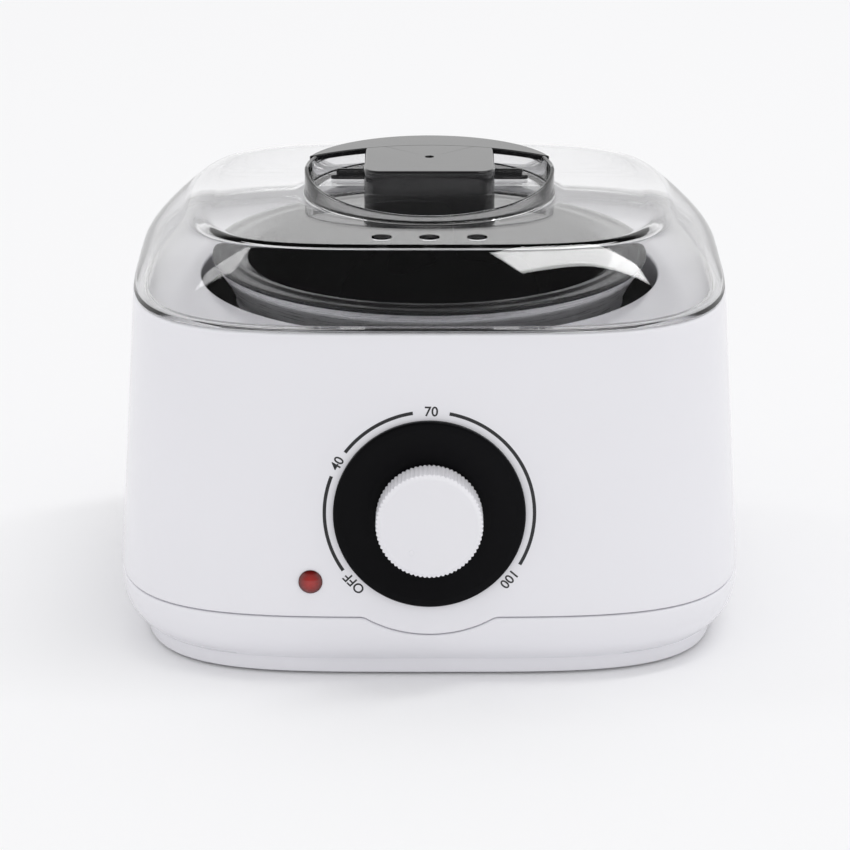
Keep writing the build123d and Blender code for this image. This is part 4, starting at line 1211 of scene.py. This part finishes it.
# The way to each soft panel, the way its long side runs, its length and width, and its power.
panels = {
    "panelRight": ((0.33, -0.03, 0.94), (0.80, 0.56, -0.27), (2.2, 0.27), 16.5),
    "panelLeft": ((-0.55, 0.15, 0.82), (-0.80, 0.56, -0.27), (0.9, 0.3), 2.6),
}
panelDistance = 3.2
panelAim = Vector((0, 0, 0.11))


def makeFloor():
    half = studio["floorSize"] / 2
    mesh = bpy.data.meshes.new("studioFloor")
    corners = [(-half, -half, 0), (half, -half, 0), (half, half, 0), (-half, half, 0)]
    mesh.from_pydata(corners, [], [(0, 1, 2, 3)])
    material, tree, shader = startMaterial("floorWhite")[:3]
    colour, white = (*studio["floorColour"], 1), (1, 1, 1, 1)
    setInputs(shader, {"Base Color": colour, "Emission Color": white})
    setInputs(shader, {"Roughness": 0.9, "Specular IOR Level": 0.0})
    rays = tree.nodes.new("ShaderNodeLightPath")
    lift = tree.nodes.new("ShaderNodeMath")
    lift.operation = "MULTIPLY"
    lift.inputs[1].default_value = studio["floorLift"]
    tree.links.new(rays.outputs["Is Camera Ray"], lift.inputs[0])
    tree.links.new(lift.outputs[0], shader.inputs["Emission Strength"])
    mesh.materials.append(material)
    floor = linked("studioFloor", mesh)


def makeWorld():
    # White to the camera. Reflections and clear pieces see white near the horizon, a dark ceiling
    # and a dimmer front, unless the light has already met a matt surface: then it is the plain level.
    world = bpy.data.worlds.new("studioWorld")
    bpy.context.scene.world = world
    world.use_nodes = True
    tree = world.node_tree
    background = tree.nodes["Background"]
    background.inputs["Color"].default_value = (1, 1, 1, 1)
    rays = tree.nodes.new("ShaderNodeLightPath")

    def fed(kind, spots, values):
        # A node whose inputs take plain numbers or other nodes' outputs.
        node = tree.nodes.new(kind)
        for spot, value in zip(spots, values):
            if isinstance(value, float):
                node.inputs[spot].default_value = value
            else:
                tree.links.new(value, node.inputs[spot])
        return node

    def combined(operation, *values):
        node = fed("ShaderNodeMath", (0, 1), values)
        node.operation = operation
        return node.outputs[0]

    def mixed(*values):
        return fed("ShaderNodeMix", (0, 2, 3), values).outputs[0]

    def eased(*values):
        # Value, from, to, and what they become.
        node = fed("ShaderNodeMapRange", range(5), values)
        node.interpolation_type = "SMOOTHSTEP"
        return node.outputs[0]

    place = tree.nodes.new("ShaderNodeTexCoord")
    split = fed("ShaderNodeSeparateXYZ", (0,), (place.outputs["Generated"],))
    whiteTo, darkFrom = studio["whiteTo"], studio["darkFrom"]
    ceiling = eased(split.outputs["Z"], whiteTo, darkFrom, 1.0, studio["overheadLevel"])
    front = eased(split.outputs["Y"], *studio["frontSpan"], studio["frontLevel"], 1.0)
    clear = rays.outputs["Is Transmission Ray"]
    met = combined("MINIMUM", rays.outputs["Diffuse Depth"], 1.0)
    mirrored = combined("MAXIMUM", rays.outputs["Is Glossy Ray"], clear)
    mirrored = combined("MULTIPLY", mirrored, combined("SUBTRACT", 1.0, met))
    plain = mixed(clear, studio["worldLevel"], 1.0)
    level = mixed(mirrored, plain, combined("MULTIPLY", ceiling, front))
    level = mixed(rays.outputs["Is Camera Ray"], level, 1.0)
    tree.links.new(level, background.inputs["Strength"])


def makePanels():
    for name, (way, along, (length, width), power) in panels.items():
        data = bpy.data.lights.new(name, "AREA")
        data.shape = "RECTANGLE"
        data.size = length
        data.size_y = width
        data.energy = power
        panel = linked(name, data)
        back = Vector(way).normalized()
        side = Vector(along)
        side = (side - back * side.dot(back)).normalized()
        turn = Matrix((side, back.cross(side), back)).transposed().to_4x4()
        turn.translation = back * panelDistance + panelAim
        panel.matrix_world = turn
        panel.visible_camera = False


makeFloor()
makeWorld()
makePanels()
bpy.context.scene.view_settings.view_transform = "Standard"
print("studio made")
